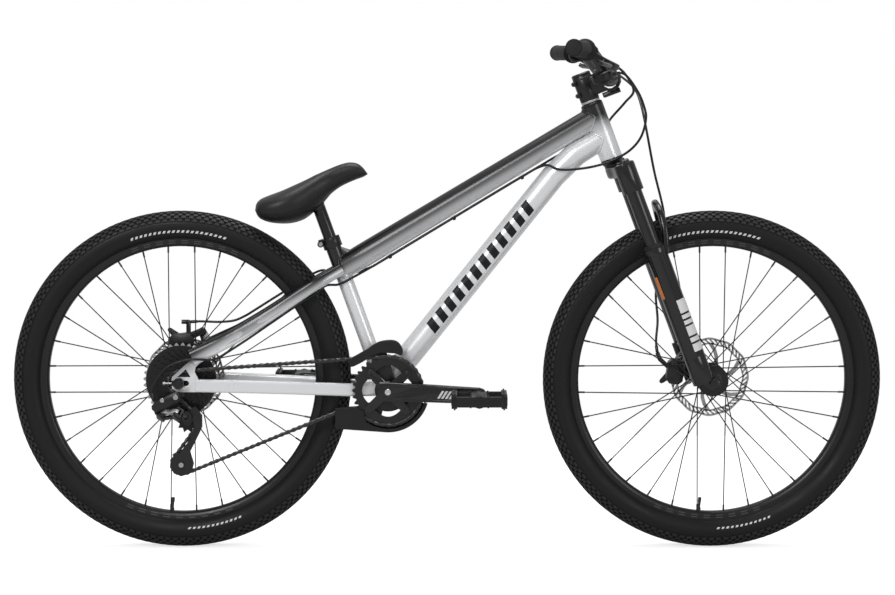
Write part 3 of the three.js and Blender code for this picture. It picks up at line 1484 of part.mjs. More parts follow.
function stem() {
  const top = stemBottom + stemClampHeight;
  const face = barCentre.x - touchGap / 2;
  const clamp = cylinder(stemClampRadius, stemBottom, top);
  const middle = stemBottom + stemClampHeight / 2;
  const station = (x, z, wide, tall) => (
    { at: vec(x, 0, z), wide: wide * stemBodyShare, tall: tall * stemBodyShare }
  );
  const body = sweep([
    station(0, middle, 2 * stemClampRadius, stemClampHeight),
    station(barCentre.x - barClampRadius / 2, barCentre.z, barClampWidth, 2 * barClampRadius),
  ], { squareness: boxySection });
  const half = barClampWidth / 2;
  const ring = crossRod(barCentre, barClampRadius, -half, half);
  const bosses = faceplateBolts.map((bolt) => stemBoss(bolt, barCentre.x - barClampRadius, face));
  const front = box(vec(face + barClampRadius, 0, barCentre.z), halfRingSize);
  const bore = cylinder(boreFor(steererRadius, roundSides, touchGap), stemBottom - overrun, top + overrun);
  const ears = pinchShares.map((share) => crossRod(
    vec(-stemClampRadius, 0, stemBottom + stemClampHeight * share),
    boltBossRadius,
    -stemClampRadius * stemBodyShare,
    stemClampRadius * stemBodyShare,
    smallSides,
  ));
  const slitSize = vec(2 * boltBossRadius, pinchSlit, stemClampHeight + 2 * overrun);
  const slit = box(vec(-stemClampRadius, 0, middle), slitSize);
  return cut(join(clamp, body, cut(join(ring, bosses), front), ears), barBore(), bore, slit);
}

function faceplate() {
  const face = barCentre.x + touchGap / 2;
  const half = barClampWidth / 2;
  const ring = crossRod(barCentre, barClampRadius, -half, half);
  const back = box(vec(face - barClampRadius, 0, barCentre.z), halfRingSize);
  const bossEnd = face + barClampRadius * faceplateBossShare;
  const bosses = faceplateBolts.map((bolt) => stemBoss(bolt, face, bossEnd));
  const window = box(
    vec(face + barClampRadius, 0, barCentre.z),
    vec(2 * barClampRadius, barClampWidth * faceplateWindowShare, barClampRadius),
  );
  return cut(join(cut(ring, back), bosses), barBore(), window);
}

function topCap() {
  const start = stemBottom + stemClampHeight + touchGap;
  return turned([
    [0, start], [stemClampRadius, start], [stemClampRadius, start + topCapHeight / 2],
    [stemClampRadius - topCapHeight / 2, start + topCapHeight], [0, start + topCapHeight],
  ]);
}

function steeringSpacer() {
  const bore = boreFor(steererRadius, roundSides, touchGap);
  const [start, end] = [stemBottom - spacerHeight, stemBottom - touchGap];
  return turned([[bore, start], [spacerRadius, start], [spacerRadius, end], [bore, end]]);
}

// Handlebar, in the steering frame

const barBend = barCentre.clone().add(vec(barBendAhead - stemReach, barBendWidth / 2, barBendRise));
const barEnd = barCentre.clone().add(vec(barEndAhead - stemReach, barWidth / 2, barEndRise));
const gripLine = barEnd.clone().sub(barBend).normalize();
const gripInset = gripLength - gripCapThickness;
const barPoint = (inFromEnd) => barEnd.clone().addScaledVector(gripLine, -inFromEnd);

function handlebar() {
  const half = [
    ...barRiseShares.map(([out, ahead, rise, thick]) => stationOf(
      vec(
        barCentre.x + (barBend.x - barCentre.x) * ahead,
        barBend.y * out,
        barCentre.z + barBendRise * rise,
      ),
      2 * THREE.MathUtils.lerp(barEndRadius, barCentreRadius, thick),
      roundSides,
    )),
    stationOf(barBend, 2 * barEndRadius, roundSides),
    stationOf(barEnd, 2 * barEndRadius, roundSides),
  ];
  const flip = ({ at, ...size }) => ({ at: at.clone().setY(-at.y), ...size });
  return sweep([...half.map(flip).reverse(), ...half], { sides: roundSides, across: vec(1, 0, 0) });
}

// A ribbed grip with a closed end, along +Z from its flange
function grip() {
  const bore = boreFor(barEndRadius, gripSides, touchGap);
  const ribPitch = (gripLength - gripFlangeThickness - gripCapThickness) / gripRibCount;
  const outside = [[bore, 0], [gripFlangeRadius, 0], [gripFlangeRadius, gripFlangeThickness]];
  for (let rib = 0; rib < gripRibCount; rib += 1) {
    const start = gripFlangeThickness + rib * ribPitch;
    outside.push([gripRadius - gripRibDepth, start], [gripRadius, start + ribPitch / 2]);
  }
  const barStop = gripInset + touchGap;
  return turned([
    [0, barStop], [bore, barStop], ...outside, [gripEndRadius, gripInset], [gripEndRadius, gripLength],
    [0, gripLength + gripCapThickness / 2],
  ], gripSides);
}

// The hand frame at a place along the bar: X outward along the bar, Y forward and down to the
// lever, Z square to both
function handFrame(side, inFromEnd) {
  const outward = gripLine.clone().setY(side * gripLine.y);
  const drop = THREE.MathUtils.degToRad(leverDropDegrees);
  const toLever = vec(Math.cos(drop), 0, -Math.sin(drop));
  toLever.addScaledVector(outward, -toLever.dot(outward)).normalize();
  const at = barPoint(inFromEnd);
  const frameAxes = new THREE.Matrix4().makeBasis(outward, toLever, outward.clone().cross(toLever));
  return frameAxes.setPosition(at.setY(side * at.y));
}

const leverPivot = [-perchWidth / 2, leverPivotReach];
const adjusterRoot = [-adjusterInset, adjusterReach];
const perchBore = boreFor(barEndRadius, roundSides, touchGap);

// The lever's mount in the hand frame: a ring on the bar, a forked body and the cable's adjuster
function brakeMount() {
  const along = vec(1, 0, 0);
  const half = perchWidth / 2;
  const ring = aimed(cylinder(perchRingRadius, -half, half), vec(0, 0, 0), along);
  const thick = perchThickness / 2;
  const body = join(
    plate(barOutline([0, perchRingRadius / 2], half, leverPivot, perchEndRadius), -thick, thick),
    plate(barOutline(leverPivot, perchEndRadius, adjusterRoot, adjusterRadius + touchGap), -thick, thick),
  );
  const slotHalf = leverBladeThickness / 2 + runningGap;
  const slotShape = outline([
    [leverPivot[0] - perchEndRadius - overrun, leverPivot[1] - perchEndRadius - runningGap],
    [leverPivot[0] + 2 * perchEndRadius, leverPivot[1] - perchEndRadius - runningGap],
    [leverPivot[0] + 2 * perchEndRadius, leverPivot[1] + 2 * perchEndRadius],
    [leverPivot[0] - perchEndRadius - overrun, leverPivot[1] + 2 * perchEndRadius],
  ]);
  const slot = plate(slotShape, -slotHalf, slotHalf);
  const adjusterFrom = vec(adjusterRoot[0], adjusterRoot[1], 0);
  const adjusterEnd = adjusterFrom.clone().add(vec(-adjusterLength, 0, 0));
  const adjuster = rod(adjusterFrom, adjusterEnd, adjusterRadius, smallSides);
  const pin = shifted(cylinder(leverPinRadius, -thick, thick, smallSides), vec(...leverPivot, 0));
  const bore = aimed(cylinder(perchBore, -perchWidth, perchWidth), vec(0, 0, 0), along);
  return join(cut(join(ring, body, adjuster), slot, bore), pin);
}

// The lever about its pivot, in the hand frame
function brakeLever() {
  const thick = leverBladeThickness / 2;
  const [pivotX, pivotY] = leverPivot;
  const path = leverBladeShares.map(([out, reach]) => (
    vec(out * leverLength - pivotX, leverReach * reach - pivotY, 0)
  ));
  const blade = sweep([vec(0, 0, 0), ...path].map((at, index, all) => ({
    at,
    wide: 2 * thick,
    tall: leverBladeWidth * (index === all.length - 1 ? leverTipShare : 1),
  })), { sides: smallSides, across: vec(0, 0, 1), squareness: boxySection });
  const root = cylinder(leverBladeWidth / 2 + touchGap, -thick, thick);
  const tipDisc = cylinder(leverBladeWidth * leverTipShare / 2, -thick, thick, smallSides);
  const tip = shifted(tipDisc, path[path.length - 1]);
  const bore = cylinder(boreFor(leverPinRadius, smallSides), -perchThickness, perchThickness, smallSides);
  return cut(join(blade, root, tip), bore);
}

// Shifter under the right of the bar, in the steering frame
const shifterRing = barPoint(gripInset + shifterSetback).multiply(vec(1, -1, 1));
const shifterOutlet = vec(...shifterOutletShares).normalize();
const shifterAxis = vec(shifterRing.x + shifterAhead, shifterRing.y, shifterRing.z - shifterDrop);

function shifter() {
  const toward = vec(gripLine.x, -gripLine.y, gripLine.z);
  const ring = aimed(cylinder(perchRingRadius, -perchWidth / 2, perchWidth / 2), shifterRing, toward);
  const bore = aimed(cylinder(perchBore, -perchWidth, perchWidth), shifterRing, toward);
  const half = shifterHeight / 2;
  const housing = shifted(turned([
    [0, -half], [shifterRadius - shifterEdge, -half], [shifterRadius, -half + shifterEdge],
    [shifterRadius, half - shifterEdge], [shifterRadius - shifterEdge, half], [0, half],
  ]), shifterAxis);
  const stalkFoot = shifterAxis.clone().add(vec(shifterStalkAhead, shifterStalkAhead, 0));
  const stalkTop = shifterRing.clone().add(vec(perchRingRadius / 2, perchWidth / 4, -perchRingRadius / 2));
  const stalk = rod(stalkFoot, stalkTop, shifterStalkRadius, smallSides);
  const outletFrom = shifterAxis.clone().add(vec(shifterRadius / 2, shifterRadius / 2, 0));
  const outletEnd = outletFrom.clone().addScaledVector(shifterOutlet, shifterRadius);
  const outlet = rod(outletFrom, outletEnd, adjusterRadius, smallSides);
  const reach = half + touchGap + shiftLeverThickness + touchGap;
  const pin = shifted(cylinder(leverPinRadius, -reach, reach, smallSides), shifterAxis);
  return join(cut(join(ring, stalk), bore), housing, outlet, pin);
}

// A thumb paddle or trigger about the shifter's axis, pointing along its own +X
function shiftLever(length, tipRadius) {
  const half = shiftLeverThickness / 2;
  const arm = plate(barOutline([0, 0], shiftLeverRootRadius, [length, 0], tipRadius / 2), -half, half);
  const boreRadius = boreFor(leverPinRadius, smallSides);
  const bore = cylinder(boreRadius, -shiftLeverThickness, shiftLeverThickness, smallSides);
  return cut(arm, bore);
}

// Rear derailleur. The slant frame holds the parallelogram: X along its pivots' span forward, Y the
// way in and down that the cage shifts, Z along the pivots.

const shiftIn = outerCogLine + cogLine(cogTeeth.length - 1);
const slantShift = vec(0, shiftIn, -shiftDrop).normalize();
const slantForward = vec(...linkForwardShares);
slantForward.addScaledVector(slantShift, -slantForward.dot(slantShift)).normalize();
const slantPivot = slantForward.clone().cross(slantShift);
const slantMatrix = new THREE.Matrix4().makeBasis(slantForward, slantShift, slantPivot);
const linkSwing = Math.asin(Math.hypot(shiftIn, shiftDrop) / (2 * linkLength));
const cageLinkCentre = vec(rearAxle.x - linkPivotAhead, -linkPivotLine, rearAxle.z - linkPivotDrop);
const linkRun = slantForward.clone().multiplyScalar(Math.cos(linkSwing))
  .addScaledVector(slantShift, -Math.sin(linkSwing));
const frameLinkCentre = cageLinkCentre.clone().addScaledVector(linkRun, -linkLength);
const outerLinkPivot = frameLinkCentre.clone().addScaledVector(slantShift, -linkSpacing / 2);
const innerLinkPivot = frameLinkCentre.clone().addScaledVector(slantShift, linkSpacing / 2);

// A two-walled fork with its pins, in the slant frame about the middle of its two pivots
function linkFork(webSide) {
  const wallNear = linkHeight / 2 + linkForkGap;
  const wallFar = wallNear + linkForkWall;
  const half = linkSpacing / 2;
  const reach = linkForkReach;
  const wall = outline([
    [webSide * reach, -half], [0, -half - linkWidth / 2], [-webSide * linkWidth / 3, -half - linkWidth / 3],
    [-webSide * linkWidth / 2, -half], [-webSide * linkWidth / 2, half],
    [-webSide * linkWidth / 3, half + linkWidth / 3], [0, half + linkWidth / 2], [webSide * reach, half],
  ]);
  const walls = [[-wallFar, -wallNear], [wallNear, wallFar]].map(([bottom, top]) => plate(wall, bottom, top));
  const webCentre = vec(webSide * (reach - linkForkWall / 2), 0, 0);
  const web = box(webCentre, vec(linkForkWall, linkSpacing, 2 * wallFar));
  const pin = cylinder(linkPinRadius, -wallFar, wallFar, smallSides);
  const pins = [-half, half].map((y) => shifted(pin, vec(0, y, 0)));
  return join(walls, web, pins);
}

function frameKnuckle() {
  const right = -(rearDropout + dropoutThickness + touchGap);
  const elbow = hangerCentre.clone().add(vec(-knuckleReach, 0, -knuckleDrop));
  const body = sidePlate(
    barOutline([hangerCentre.x, hangerCentre.z], knuckleRadius, [elbow.x, elbow.z], knuckleElbowRadius),
    right - knuckleWidth,
    right,
  );
  const pin = crossRod(hangerCentre, knucklePinRadius, right - touchGap, -rearDropout);
  const fork = moved(linkFork(-1), slantMatrix.clone().setPosition(frameLinkCentre));
  const webAt = frameLinkCentre.clone().addScaledVector(slantForward, -linkForkReach);
  const neck = rod(elbow.clone().setY(right - knuckleWidth / 2), webAt, linkForkWall * 2, smallSides);
  return join(body, pin, fork, cut(neck, linkRoom(frameLinkCentre, 1)));
}

// The room between a fork's walls, which runs out from its web on the side of the links
function linkRoom(centre, side) {
  const size = vec(linkLength * 2, linkSpacing + 3 * linkWidth, linkHeight + 2 * linkForkGap);
  const offset = vec(side * (size.x / 2 - linkForkReach + linkForkWall), 0, 0);
  return moved(shifted(box(vec(0, 0, 0), size), offset), slantMatrix.clone().setPosition(centre));
}

// A link from its first pivot, in the slant frame turned to the link's run
function link() {
  const half = linkHeight / 2;
  const arm = plate(barOutline([0, 0], linkWidth / 2, [linkLength, 0], linkWidth / 2), -half, half);
  const waist = [-1, 1].map((side) => shifted(
    cylinder(linkLength / 2, -linkHeight, linkHeight),
    vec(linkLength / 2, side * (linkLength / 2 + linkWidth * linkWaistShare), 0),
  ));
  const bores = [0, linkLength].map((x) => shifted(
    cylinder(boreFor(linkPinRadius, smallSides), -linkHeight, linkHeight, smallSides),
    vec(x, 0, 0),
  ));
  return cut(arm, waist, bores);
}

const cagePivot = rearAxle.clone().add(vec(cagePivotAhead, 0, -cagePivotDrop));
const cageOuter = -(outerCogLine + cagePlateGap + cagePlateThickness);

function cageKnuckle() {
  const start = cageOuter - touchGap;
  const barrel = crossRod(cagePivot, knuckleRadius, start - knuckleWidth, start);
  const fork = moved(linkFork(1), slantMatrix.clone().setPosition(cageLinkCentre));
  const webAt = cageLinkCentre.clone().addScaledVector(slantForward, linkForkReach - linkForkWall / 2);
  const neckFoot = cagePivot.clone().setY(start - knuckleWidth * knuckleNeckShare);
  const neck = rod(neckFoot, webAt, linkForkWall * 2, smallSides);
  const boreEnd = start - knuckleWidth / 2 - touchGap;
  const bore = crossRod(cagePivot, boreFor(cagePivotPinRadius), boreEnd, start + overrun);
  return cut(join(barrel, fork, cut(neck, linkRoom(cageLinkCentre, -1))), bore);
}

// The cage: two plates with the pulleys' pins between them and the pin that it turns on
function cage() {
  const run = tensionPulley.clone().sub(guidePulley);
  const length = run.length();
  const across = vec(-run.z, 0, run.x).normalize();
  const point = ([along, ahead]) => {
    const at = guidePulley.clone().addScaledVector(run, along).addScaledVector(across, ahead * length);
    return [at.x, at.z];
  };
  const shape = outline(cageShares.map(point));
  const lowerRadius = pitchRadius(pulleyTeeth) + toothHeight;
  const lower = circleOutline(tensionPulley.x, tensionPulley.z, lowerRadius, roundSides);
  const upper = circleOutline(guidePulley.x, guidePulley.z, cageEyeRadius, smallSides);
  const plates = [-1, 1].map((side) => {
    const near = -outerCogLine + side * cagePlateGap;
    const far = near + side * cagePlateThickness;
    const [right, left] = [Math.min(near, far), Math.max(near, far)];
    return join([shape, lower, upper].map((each) => sidePlate(each, right, left)));
  });
  const [right, left] = [cageOuter, -outerCogLine + cagePlateGap + cagePlateThickness];
  const hub = crossRod(cagePivot, knuckleRadius, cageOuter, cageOuter + cagePlateThickness);
  const pins = [guidePulley, tensionPulley].map((at) => crossRod(at, cagePinRadius, right, left, smallSides));
  const pinEnd = cageOuter - touchGap - knuckleWidth / 2;
  const pivotPin = crossRod(cagePivot, cagePivotPinRadius, pinEnd, cageOuter + cagePlateThickness);
  return join(plates, hub, pins, pivotPin);
}

// A pulley about its own place, its teeth in the chain
function pulley(round) {
  const half = chainWidth / 2 - touchGap;
  const shape = toothOutline(pulleyTeeth, pinAngle(round));
  const teeth = sidePlate(shape, -sprocketThickness / 2, sprocketThickness / 2);
  const boss = crossRod(vec(0, 0, 0), pitchRadius(pulleyTeeth) / 2, -half, half);
  const boreRadius = boreFor(cagePinRadius, smallSides);
  const bore = crossRod(vec(0, 0, 0), boreRadius, -chainWidth, chainWidth, smallSides);
  return cut(join(teeth, boss), bore);
}

// Cables: tubes along hand-laid routes

// A stretch of a cable between two shares of its route
function cable(points, from = 0, to = 1, spacing = cableStep) {
  const route = new THREE.CatmullRomCurve3(points.map(([x, y, z]) => vec(x, y, z)), false, 'centripetal');
  const steps = Math.round(route.getLength() * (to - from) / spacing);
  const stations = [];
  for (let step = 0; step <= 4 * steps; step += 1) {
    stations.push(route.getPointAt(THREE.MathUtils.lerp(from, to, step / (4 * steps))));
  }
  const path = new THREE.CatmullRomCurve3(stations, false, 'centripetal');
  const section = circleOutline(0, 0, cableRadius, cableSides);
  return solid(new THREE.ExtrudeGeometry(section, { steps, bevelEnabled: false, extrudePath: path }));
}

// Hand-laid routes, from the hand to the far end
const rearBrakeRoute = [
  [326.8, -166.8, 958.7], [330, -152, 958.4], [345, -128, 946], [364, -90, 914], [350, -50, 891],
  [325, 20, 856], [322, 30, 848], [300, 34, 822], [262, 33, 802], [222, 26, 785], [188, 10, 766],
  [150, 5, 744], [126, 5, 729.7], [2, 5, 655.2], [-128, 5, 576.8], [-150, 5, 563.5], [-180, 20, 552],
  [-205, 38, 548], [-235, 47.5, 546.5], [-250, 54, 553], [-285, 51, 538], [-300, 52, 527],
  [-332, 49, 508], [-364, 50, 488], [-386, 51, 474], [-408, 53, 460.5], [-430, 55, 451],
  [-458, 57, 447.8], [-500, 59, 448.6], [-518.4, 59.5, 447.7],
];
const shiftRoute = [
  [322.9, -152.1, 946.9], [341, -140, 947], [370, -115, 913], [383, -100, 886], [389, -85, 862],
  [381, -65, 824], [363.5, -50, 800], [339, -42, 783], [309, -36, 770], [268, -32, 761],
  [222, -29, 759], [200, -22, 767], [180, -9, 761.5], [150, -5, 744], [126, -5, 729.7], [2, -5, 655.2],
  [-128, -5, 576.8], [-150, -5, 564], [-185, -16, 545], [-215, -21, 530], [-240, -32, 528.5],
  [-262, -42, 512], [-285, -47, 498.5], [-350, -50, 454.5], [-400, -55, 420.5], [-436, -60, 397.5],
  [-452, -67, 388], [-466, -77, 385], [-480, -82.5, 386], [-510, -84, 386], [-548, -84, 373],
  [-565, -83, 357], [-577, -82, 338], [-582, -81, 322], [-580, -80, 306],
];
const clipLine = 5;
const clipPoints = [rearBrakeRoute[12], rearBrakeRoute[13], rearBrakeRoute[14]];
const frontBrakeRoute = [
  [326.8, 166.8, 958.7], [330, 152, 958.4], [352, 138, 945], [377, 124, 924], [385, 110, 911],
  [392, 80, 885], [396, 60, 862], [400, 45, 837], [417, 60, 755], [439, 68, 661], [437, 86, 623],
  [432, 94, 565], [425, 88, 501], [427.6, 72, 449], [423.5, 57, 408], [425.3, 50.5, 387.4],
];

// The handlebar's stretches of the rear brake cable and the shift cable, with the clip that ties them
function barCables() {
  const [[, , brakePoint], [, shiftPoint]] = [rearBrakeRoute, shiftRoute];
  return join(
    cable(rearBrakeRoute, 0, rearBrakeBarShare, barCableStep),
    cable(shiftRoute, 0, shiftBarShare, barCableStep),
    rod(vec(...brakePoint), vec(...shiftPoint), barClipRadius, smallSides),
  );
}

// The frame's stretches of both cables, with clips between them under the top tube
function frameCables() {
  const clipSize = vec(cableClipLength, 2 * clipLine, cableClipHeight);
  const turn = new THREE.Matrix4().makeBasis(topTubeRun, sideways, topTubeOver);
  const clips = clipPoints.map(([x, , z]) => moved(box(vec(0, 0, 0), clipSize), turn.setPosition(vec(x, 0, z))));
  return join(
    cable(rearBrakeRoute, rearBrakeBarShare + cablePartingShare),
    cable(shiftRoute, shiftBarShare + cablePartingShare),
    clips,
  );
}

// Materials

function finish(color, roughness, metalness) {
  return new THREE.MeshStandardMaterial({ color, roughness, metalness });
}

const silverPaint = () => finish(0xc9cccf, 0.35, 0.6);
const blackMetal = () => finish(0x16171a, 0.4, 0.6);
const polished = () => finish(0xb8bcc2, 0.3, 0.9);
const darkPlastic = () => finish(0x1c1d20, 0.55, 0.05);
const rubber = () => finish(0x141414, 0.85, 0);
const greyMetal = () => finish(0x8f9499, 0.4, 0.85);

function piece(name, shape, material) {
  const mesh = new THREE.Mesh(geometryOf(shape), material);
  mesh.name = name;
  return mesh;
}

function groupAt(position, ...pieces) {
  const group = new THREE.Group();
  group.position.copy(position);
  group.add(...pieces);
  return group;
}

// A group that stands in a frame given by a matrix
function groupIn(matrix, ...pieces) {
  const group = new THREE.Group();
  matrix.decompose(group.position, group.quaternion, group.scale);
  group.add(...pieces);
  return group;
}

// Assembly

function rearTriangleAndGuides() {
  return [
    piece('frame', frame(), silverPaint()),
    piece('headset_upper_cup', upperCup(), blackMetal()),
    piece('headset_lower_cup', lowerCup(), blackMetal()),
    piece('bottom_bracket', bottomBracket(), blackMetal()),
    piece('seat_clamp', seatClamp(), blackMetal()),
    piece('derailleur_hanger', hanger(), polished()),
    piece('chainguide_backplate', backplate(), blackMetal()),
    piece('chainguide_upper', upperGuide(), darkPlastic()),
    piece('chainguide_lower', lowerGuide(), darkPlastic()),
    piece('rear_axle', sleevedAxle(), greyMetal()),
    piece('rear_caliper', rearCaliper(), blackMetal()),
    piece('bar_cables', barCables(), rubber()),
    piece('frame_cables', frameCables(), rubber()),
    piece('front_brake_cable', cable(frontBrakeRoute), rubber()),
    piece('chain', chain(), greyMetal()),
    piece('cassette', cassette(), greyMetal()),
    piece('chainring', chainring(), blackMetal()),
  ];
}

function wheel(name, centre, hubShape, rotorOffset) {
  const group = groupAt(
    centre,
    piece(`${name}_tyre`, tyre(), rubber()),
    piece(`${name}_rim`, rim(), blackMetal()),
    piece(`${name}_hub`, hubShape, blackMetal()),
    piece(`${name}_rotor`, rotor(rotorOffset), polished()),
  );
  group.rotation.x = -Math.PI / 2;
  return group;
}

function cranks() {
  const tilt = THREE.MathUtils.degToRad(crankTiltDegrees);
  const right = groupAt(crankCentre, piece('crank_arm_right', crankRight(), blackMetal()));
  right.rotation.y = -tilt;
  const left = groupAt(crankCentre, piece('crank_arm_left', crankLeft(), blackMetal()));
  left.rotation.y = Math.PI - tilt;
  const pedalAt = (side) => {
    const reach = side * crankLength;
    const at = vec(reach * Math.cos(tilt), 0, reach * Math.sin(tilt)).add(crankCentre);
    return at.setY(-side * (crankTipInset + crankThickness + touchGap));
  };
  return [
    right,
    left,
    groupAt(pedalAt(1), piece('pedal_right', mirrored(pedal()), darkPlastic())),
    groupAt(pedalAt(-1), piece('pedal_left', pedal(), darkPlastic())),
  ];
}

function steeredPieces() {
  const handInset = gripInset + perchSetback + perchWidth / 2;
  const gripShape = grip();
  const hands = [[1, 'left'], [-1, 'right']].flatMap(([side, name]) => {
    const outward = gripLine.clone().setY(side * gripLine.y);
    const flange = barPoint(gripInset);
    const hand = groupIn(
      handFrame(side, handInset),
      piece(`brake_mount_${name}`, brakeMount(), blackMetal()),
      groupAt(vec(...leverPivot, 0), piece(`brake_lever_${name}`, brakeLever(), blackMetal())),
    );
    return [
      piece(`grip_${name}`, aimed(gripShape, flange.setY(side * flange.y), outward), rubber()),
      hand,
    ];
  });
  const leverRise = shifterHeight / 2 + touchGap + shiftLeverThickness / 2;
  const thumb = groupAt(
    shifterAxis.clone().add(vec(0, 0, leverRise)),
    piece('shifter_thumb_lever', shiftLever(thumbLeverLength, thumbLeverRadius), darkPlastic()),
  );
  thumb.rotation.z = THREE.MathUtils.degToRad(thumbLeverDegrees);
  const trigger = groupAt(
    shifterAxis.clone().add(vec(0, 0, -leverRise)),
    piece('shifter_release_lever', shiftLever(triggerLength, triggerRadius), darkPlastic()),
  );
  trigger.rotation.z = THREE.MathUtils.degToRad(triggerDegrees);
  return [
    piece('fork_crown', forkCrown(), blackMetal()),
    piece('stem', stem(), blackMetal()),
    piece('stem_faceplate', faceplate(), blackMetal()),
    piece('top_cap', topCap(), blackMetal()),
    piece('headset_spacer', steeringSpacer(), polished()),
    piece('handlebar', handlebar(), blackMetal()),
    ...hands,
    piece('shifter', shifter(), darkPlastic()),
    thumb,
    trigger,
  ];
}

function frontBrakeAndLowers() {
  const arm = groupAt(
    frontPivot.clone().setY(frontRotorOffset + caliperOutboard),
    piece('front_caliper_arm', brakeArm(), blackMetal()),
  );
  arm.rotation.y = THREE.MathUtils.degToRad(frontArmDegrees);
  const padFace = frontRotorOffset + rotorThickness / 2 + padGap;
  const axleHalf = frontHubWidth / 2 + touchGap + forkLugThickness;
  return [
    piece('fork_lowers', forkLowers(), blackMetal()),
    piece('front_axle', axle(axleHalf, vec(forkOffset, 0, 0)), greyMetal()),
    piece('front_caliper', frontCaliper(), blackMetal()),
    arm,
    groupAt(frontPivot.clone().setY(padFace), piece('front_brake_pad', brakePad(), greyMetal())),
  ];
}

function rearBrakeMovers() {
  const arm = groupAt(
    rearPivot.clone().setY(rearRotorOffset + caliperOutboard),
    piece('rear_caliper_arm', brakeArm(), blackMetal()),
  );
  arm.rotation.y = THREE.MathUtils.degToRad(rearArmDegrees);
  const padFace = rearRotorOffset + rotorThickness / 2 + padGap;
  return [arm, groupAt(rearPivot.clone().setY(padFace), piece('rear_brake_pad', brakePad(), greyMetal()))];
}

function seatPieces() {
  return [piece('seatpost', seatpost(), blackMetal()), piece('saddle', saddle(), finish(0x101010, 0.7, 0))];
}

function derailleur() {
  const linkTurn = slantMatrix.clone().multiply(new THREE.Matrix4().makeRotationZ(-linkSwing));
  const linkAt = (pivot) => linkTurn.clone().setPosition(pivot);
  const pulleyAt = (name, round) => groupAt(
    round.centre.clone().setY(-outerCogLine),
    piece(name, pulley(round), darkPlastic()),
  );
  return [
    piece('derailleur_frame_knuckle', frameKnuckle(), blackMetal()),
    groupIn(linkAt(outerLinkPivot), piece('derailleur_outer_link', link(), polished())),
    groupIn(linkAt(innerLinkPivot), piece('derailleur_inner_link', link(), blackMetal())),
    piece('derailleur_cage_knuckle', cageKnuckle(), blackMetal()),
    piece('derailleur_cage', cage(), blackMetal()),
    pulleyAt('guide_pulley', chainRounds[4]),
    pulleyAt('tension_pulley', chainRounds[3]),
  ];
}

const bike = new THREE.Group();
bike.add(...rearTriangleAndGuides());
const rearHub = hub(
  rearRightFlange, rearLeftFlange, rearHubRightEnd, rearDropout - runningGap, rearFlangeRadius,
);
const frontHubEnd = frontHubWidth / 2;
const frontHub = hub(frontRightFlange, frontLeftFlange, frontHubEnd, frontHubEnd, frontFlangeRadius);
bike.add(wheel('rear', rearAxle, rearHub, rearRotorOffset));
bike.add(wheel('front', frontAxle, frontHub, frontRotorOffset));
bike.add(...cranks(), ...seatPieces(), ...rearBrakeMovers(), ...derailleur());

const steering = groupAt(steeringFoot, ...steeredPieces(), ...frontBrakeAndLowers());
steering.rotation.y = -steeringLean;
bike.add(steering);

export default bike;
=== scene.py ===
import math

import bmesh
import bpy
import numpy as np
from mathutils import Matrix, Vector

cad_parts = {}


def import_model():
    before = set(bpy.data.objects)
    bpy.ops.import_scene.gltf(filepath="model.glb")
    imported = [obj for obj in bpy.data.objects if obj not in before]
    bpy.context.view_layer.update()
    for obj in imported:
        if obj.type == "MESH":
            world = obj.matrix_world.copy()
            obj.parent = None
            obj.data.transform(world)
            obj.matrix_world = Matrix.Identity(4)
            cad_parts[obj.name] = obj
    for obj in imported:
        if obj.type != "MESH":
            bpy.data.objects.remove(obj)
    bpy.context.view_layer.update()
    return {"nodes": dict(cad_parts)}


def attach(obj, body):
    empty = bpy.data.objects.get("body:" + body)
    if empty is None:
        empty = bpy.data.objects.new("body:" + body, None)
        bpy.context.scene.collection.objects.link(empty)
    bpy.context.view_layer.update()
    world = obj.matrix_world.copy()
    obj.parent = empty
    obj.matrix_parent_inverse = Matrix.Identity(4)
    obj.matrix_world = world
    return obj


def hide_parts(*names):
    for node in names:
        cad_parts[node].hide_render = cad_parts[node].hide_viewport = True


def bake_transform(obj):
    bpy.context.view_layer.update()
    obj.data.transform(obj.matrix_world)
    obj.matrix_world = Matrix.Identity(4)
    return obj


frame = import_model()

# Metres and radians. +X is forward, +Y is the rider's left, +Z is up, and the chain side is at -Y.
TURN = 2 * math.pi
MILLI = 0.001
FORWARD = np.array([1.0, 0.0, 0.0])
SIDEWAYS = np.array([0.0, 1.0, 0.0])
UPWARD = np.array([0.0, 0.0, 1.0])
SHARP_EDGE = math.radians(38)
NO_EDGE = math.pi

WHEEL_RADIUS = 0.338
REAR_AXLE = np.array([-0.53, 0.0, WHEEL_RADIUS])
FRONT_AXLE = np.array([0.53, 0.0, WHEEL_RADIUS])
CRANK = np.array([-0.117, 0.0, 0.32])
STEER_FOOT = np.array([0.497217, 0.0, 0.325743])
STEER_UP = np.array([-0.35021, 0.0, 0.93667])
STEER_AHEAD = np.array([0.93667, 0.0, 0.35021])
SEAT_LEAN = math.radians(19.8)
SEAT_UP = np.array([-math.sin(SEAT_LEAN), 0.0, math.cos(SEAT_LEAN)])
SEAT_FOOT = CRANK + np.array([-0.008, 0.0, 0.0])


# Shapes: an array of points and a list of arrays of faces

def unit(rows):
    """Each row divided by its length."""
    return rows / np.linalg.norm(rows, axis=-1, keepdims=True)


def steer(ahead, left, up):
    """The point ahead of the steering axis, to the left of it and up along it."""
    return STEER_FOOT + ahead * STEER_AHEAD + up * STEER_UP + left * SIDEWAYS


def seat_tube(up):
    """The point on the seat tube's line at a distance up from its foot."""
    return SEAT_FOOT + up * SEAT_UP


def upright(flat, level):
    """Points in X and Z, set at one Y."""
    return np.stack([flat[:, 0], np.full(len(flat), level), flat[:, 1]], -1)


def polar(radius, angle):
    """Points in X and Z at a radius and an angle."""
    return np.stack([radius * np.cos(angle), radius * np.sin(angle)], -1)


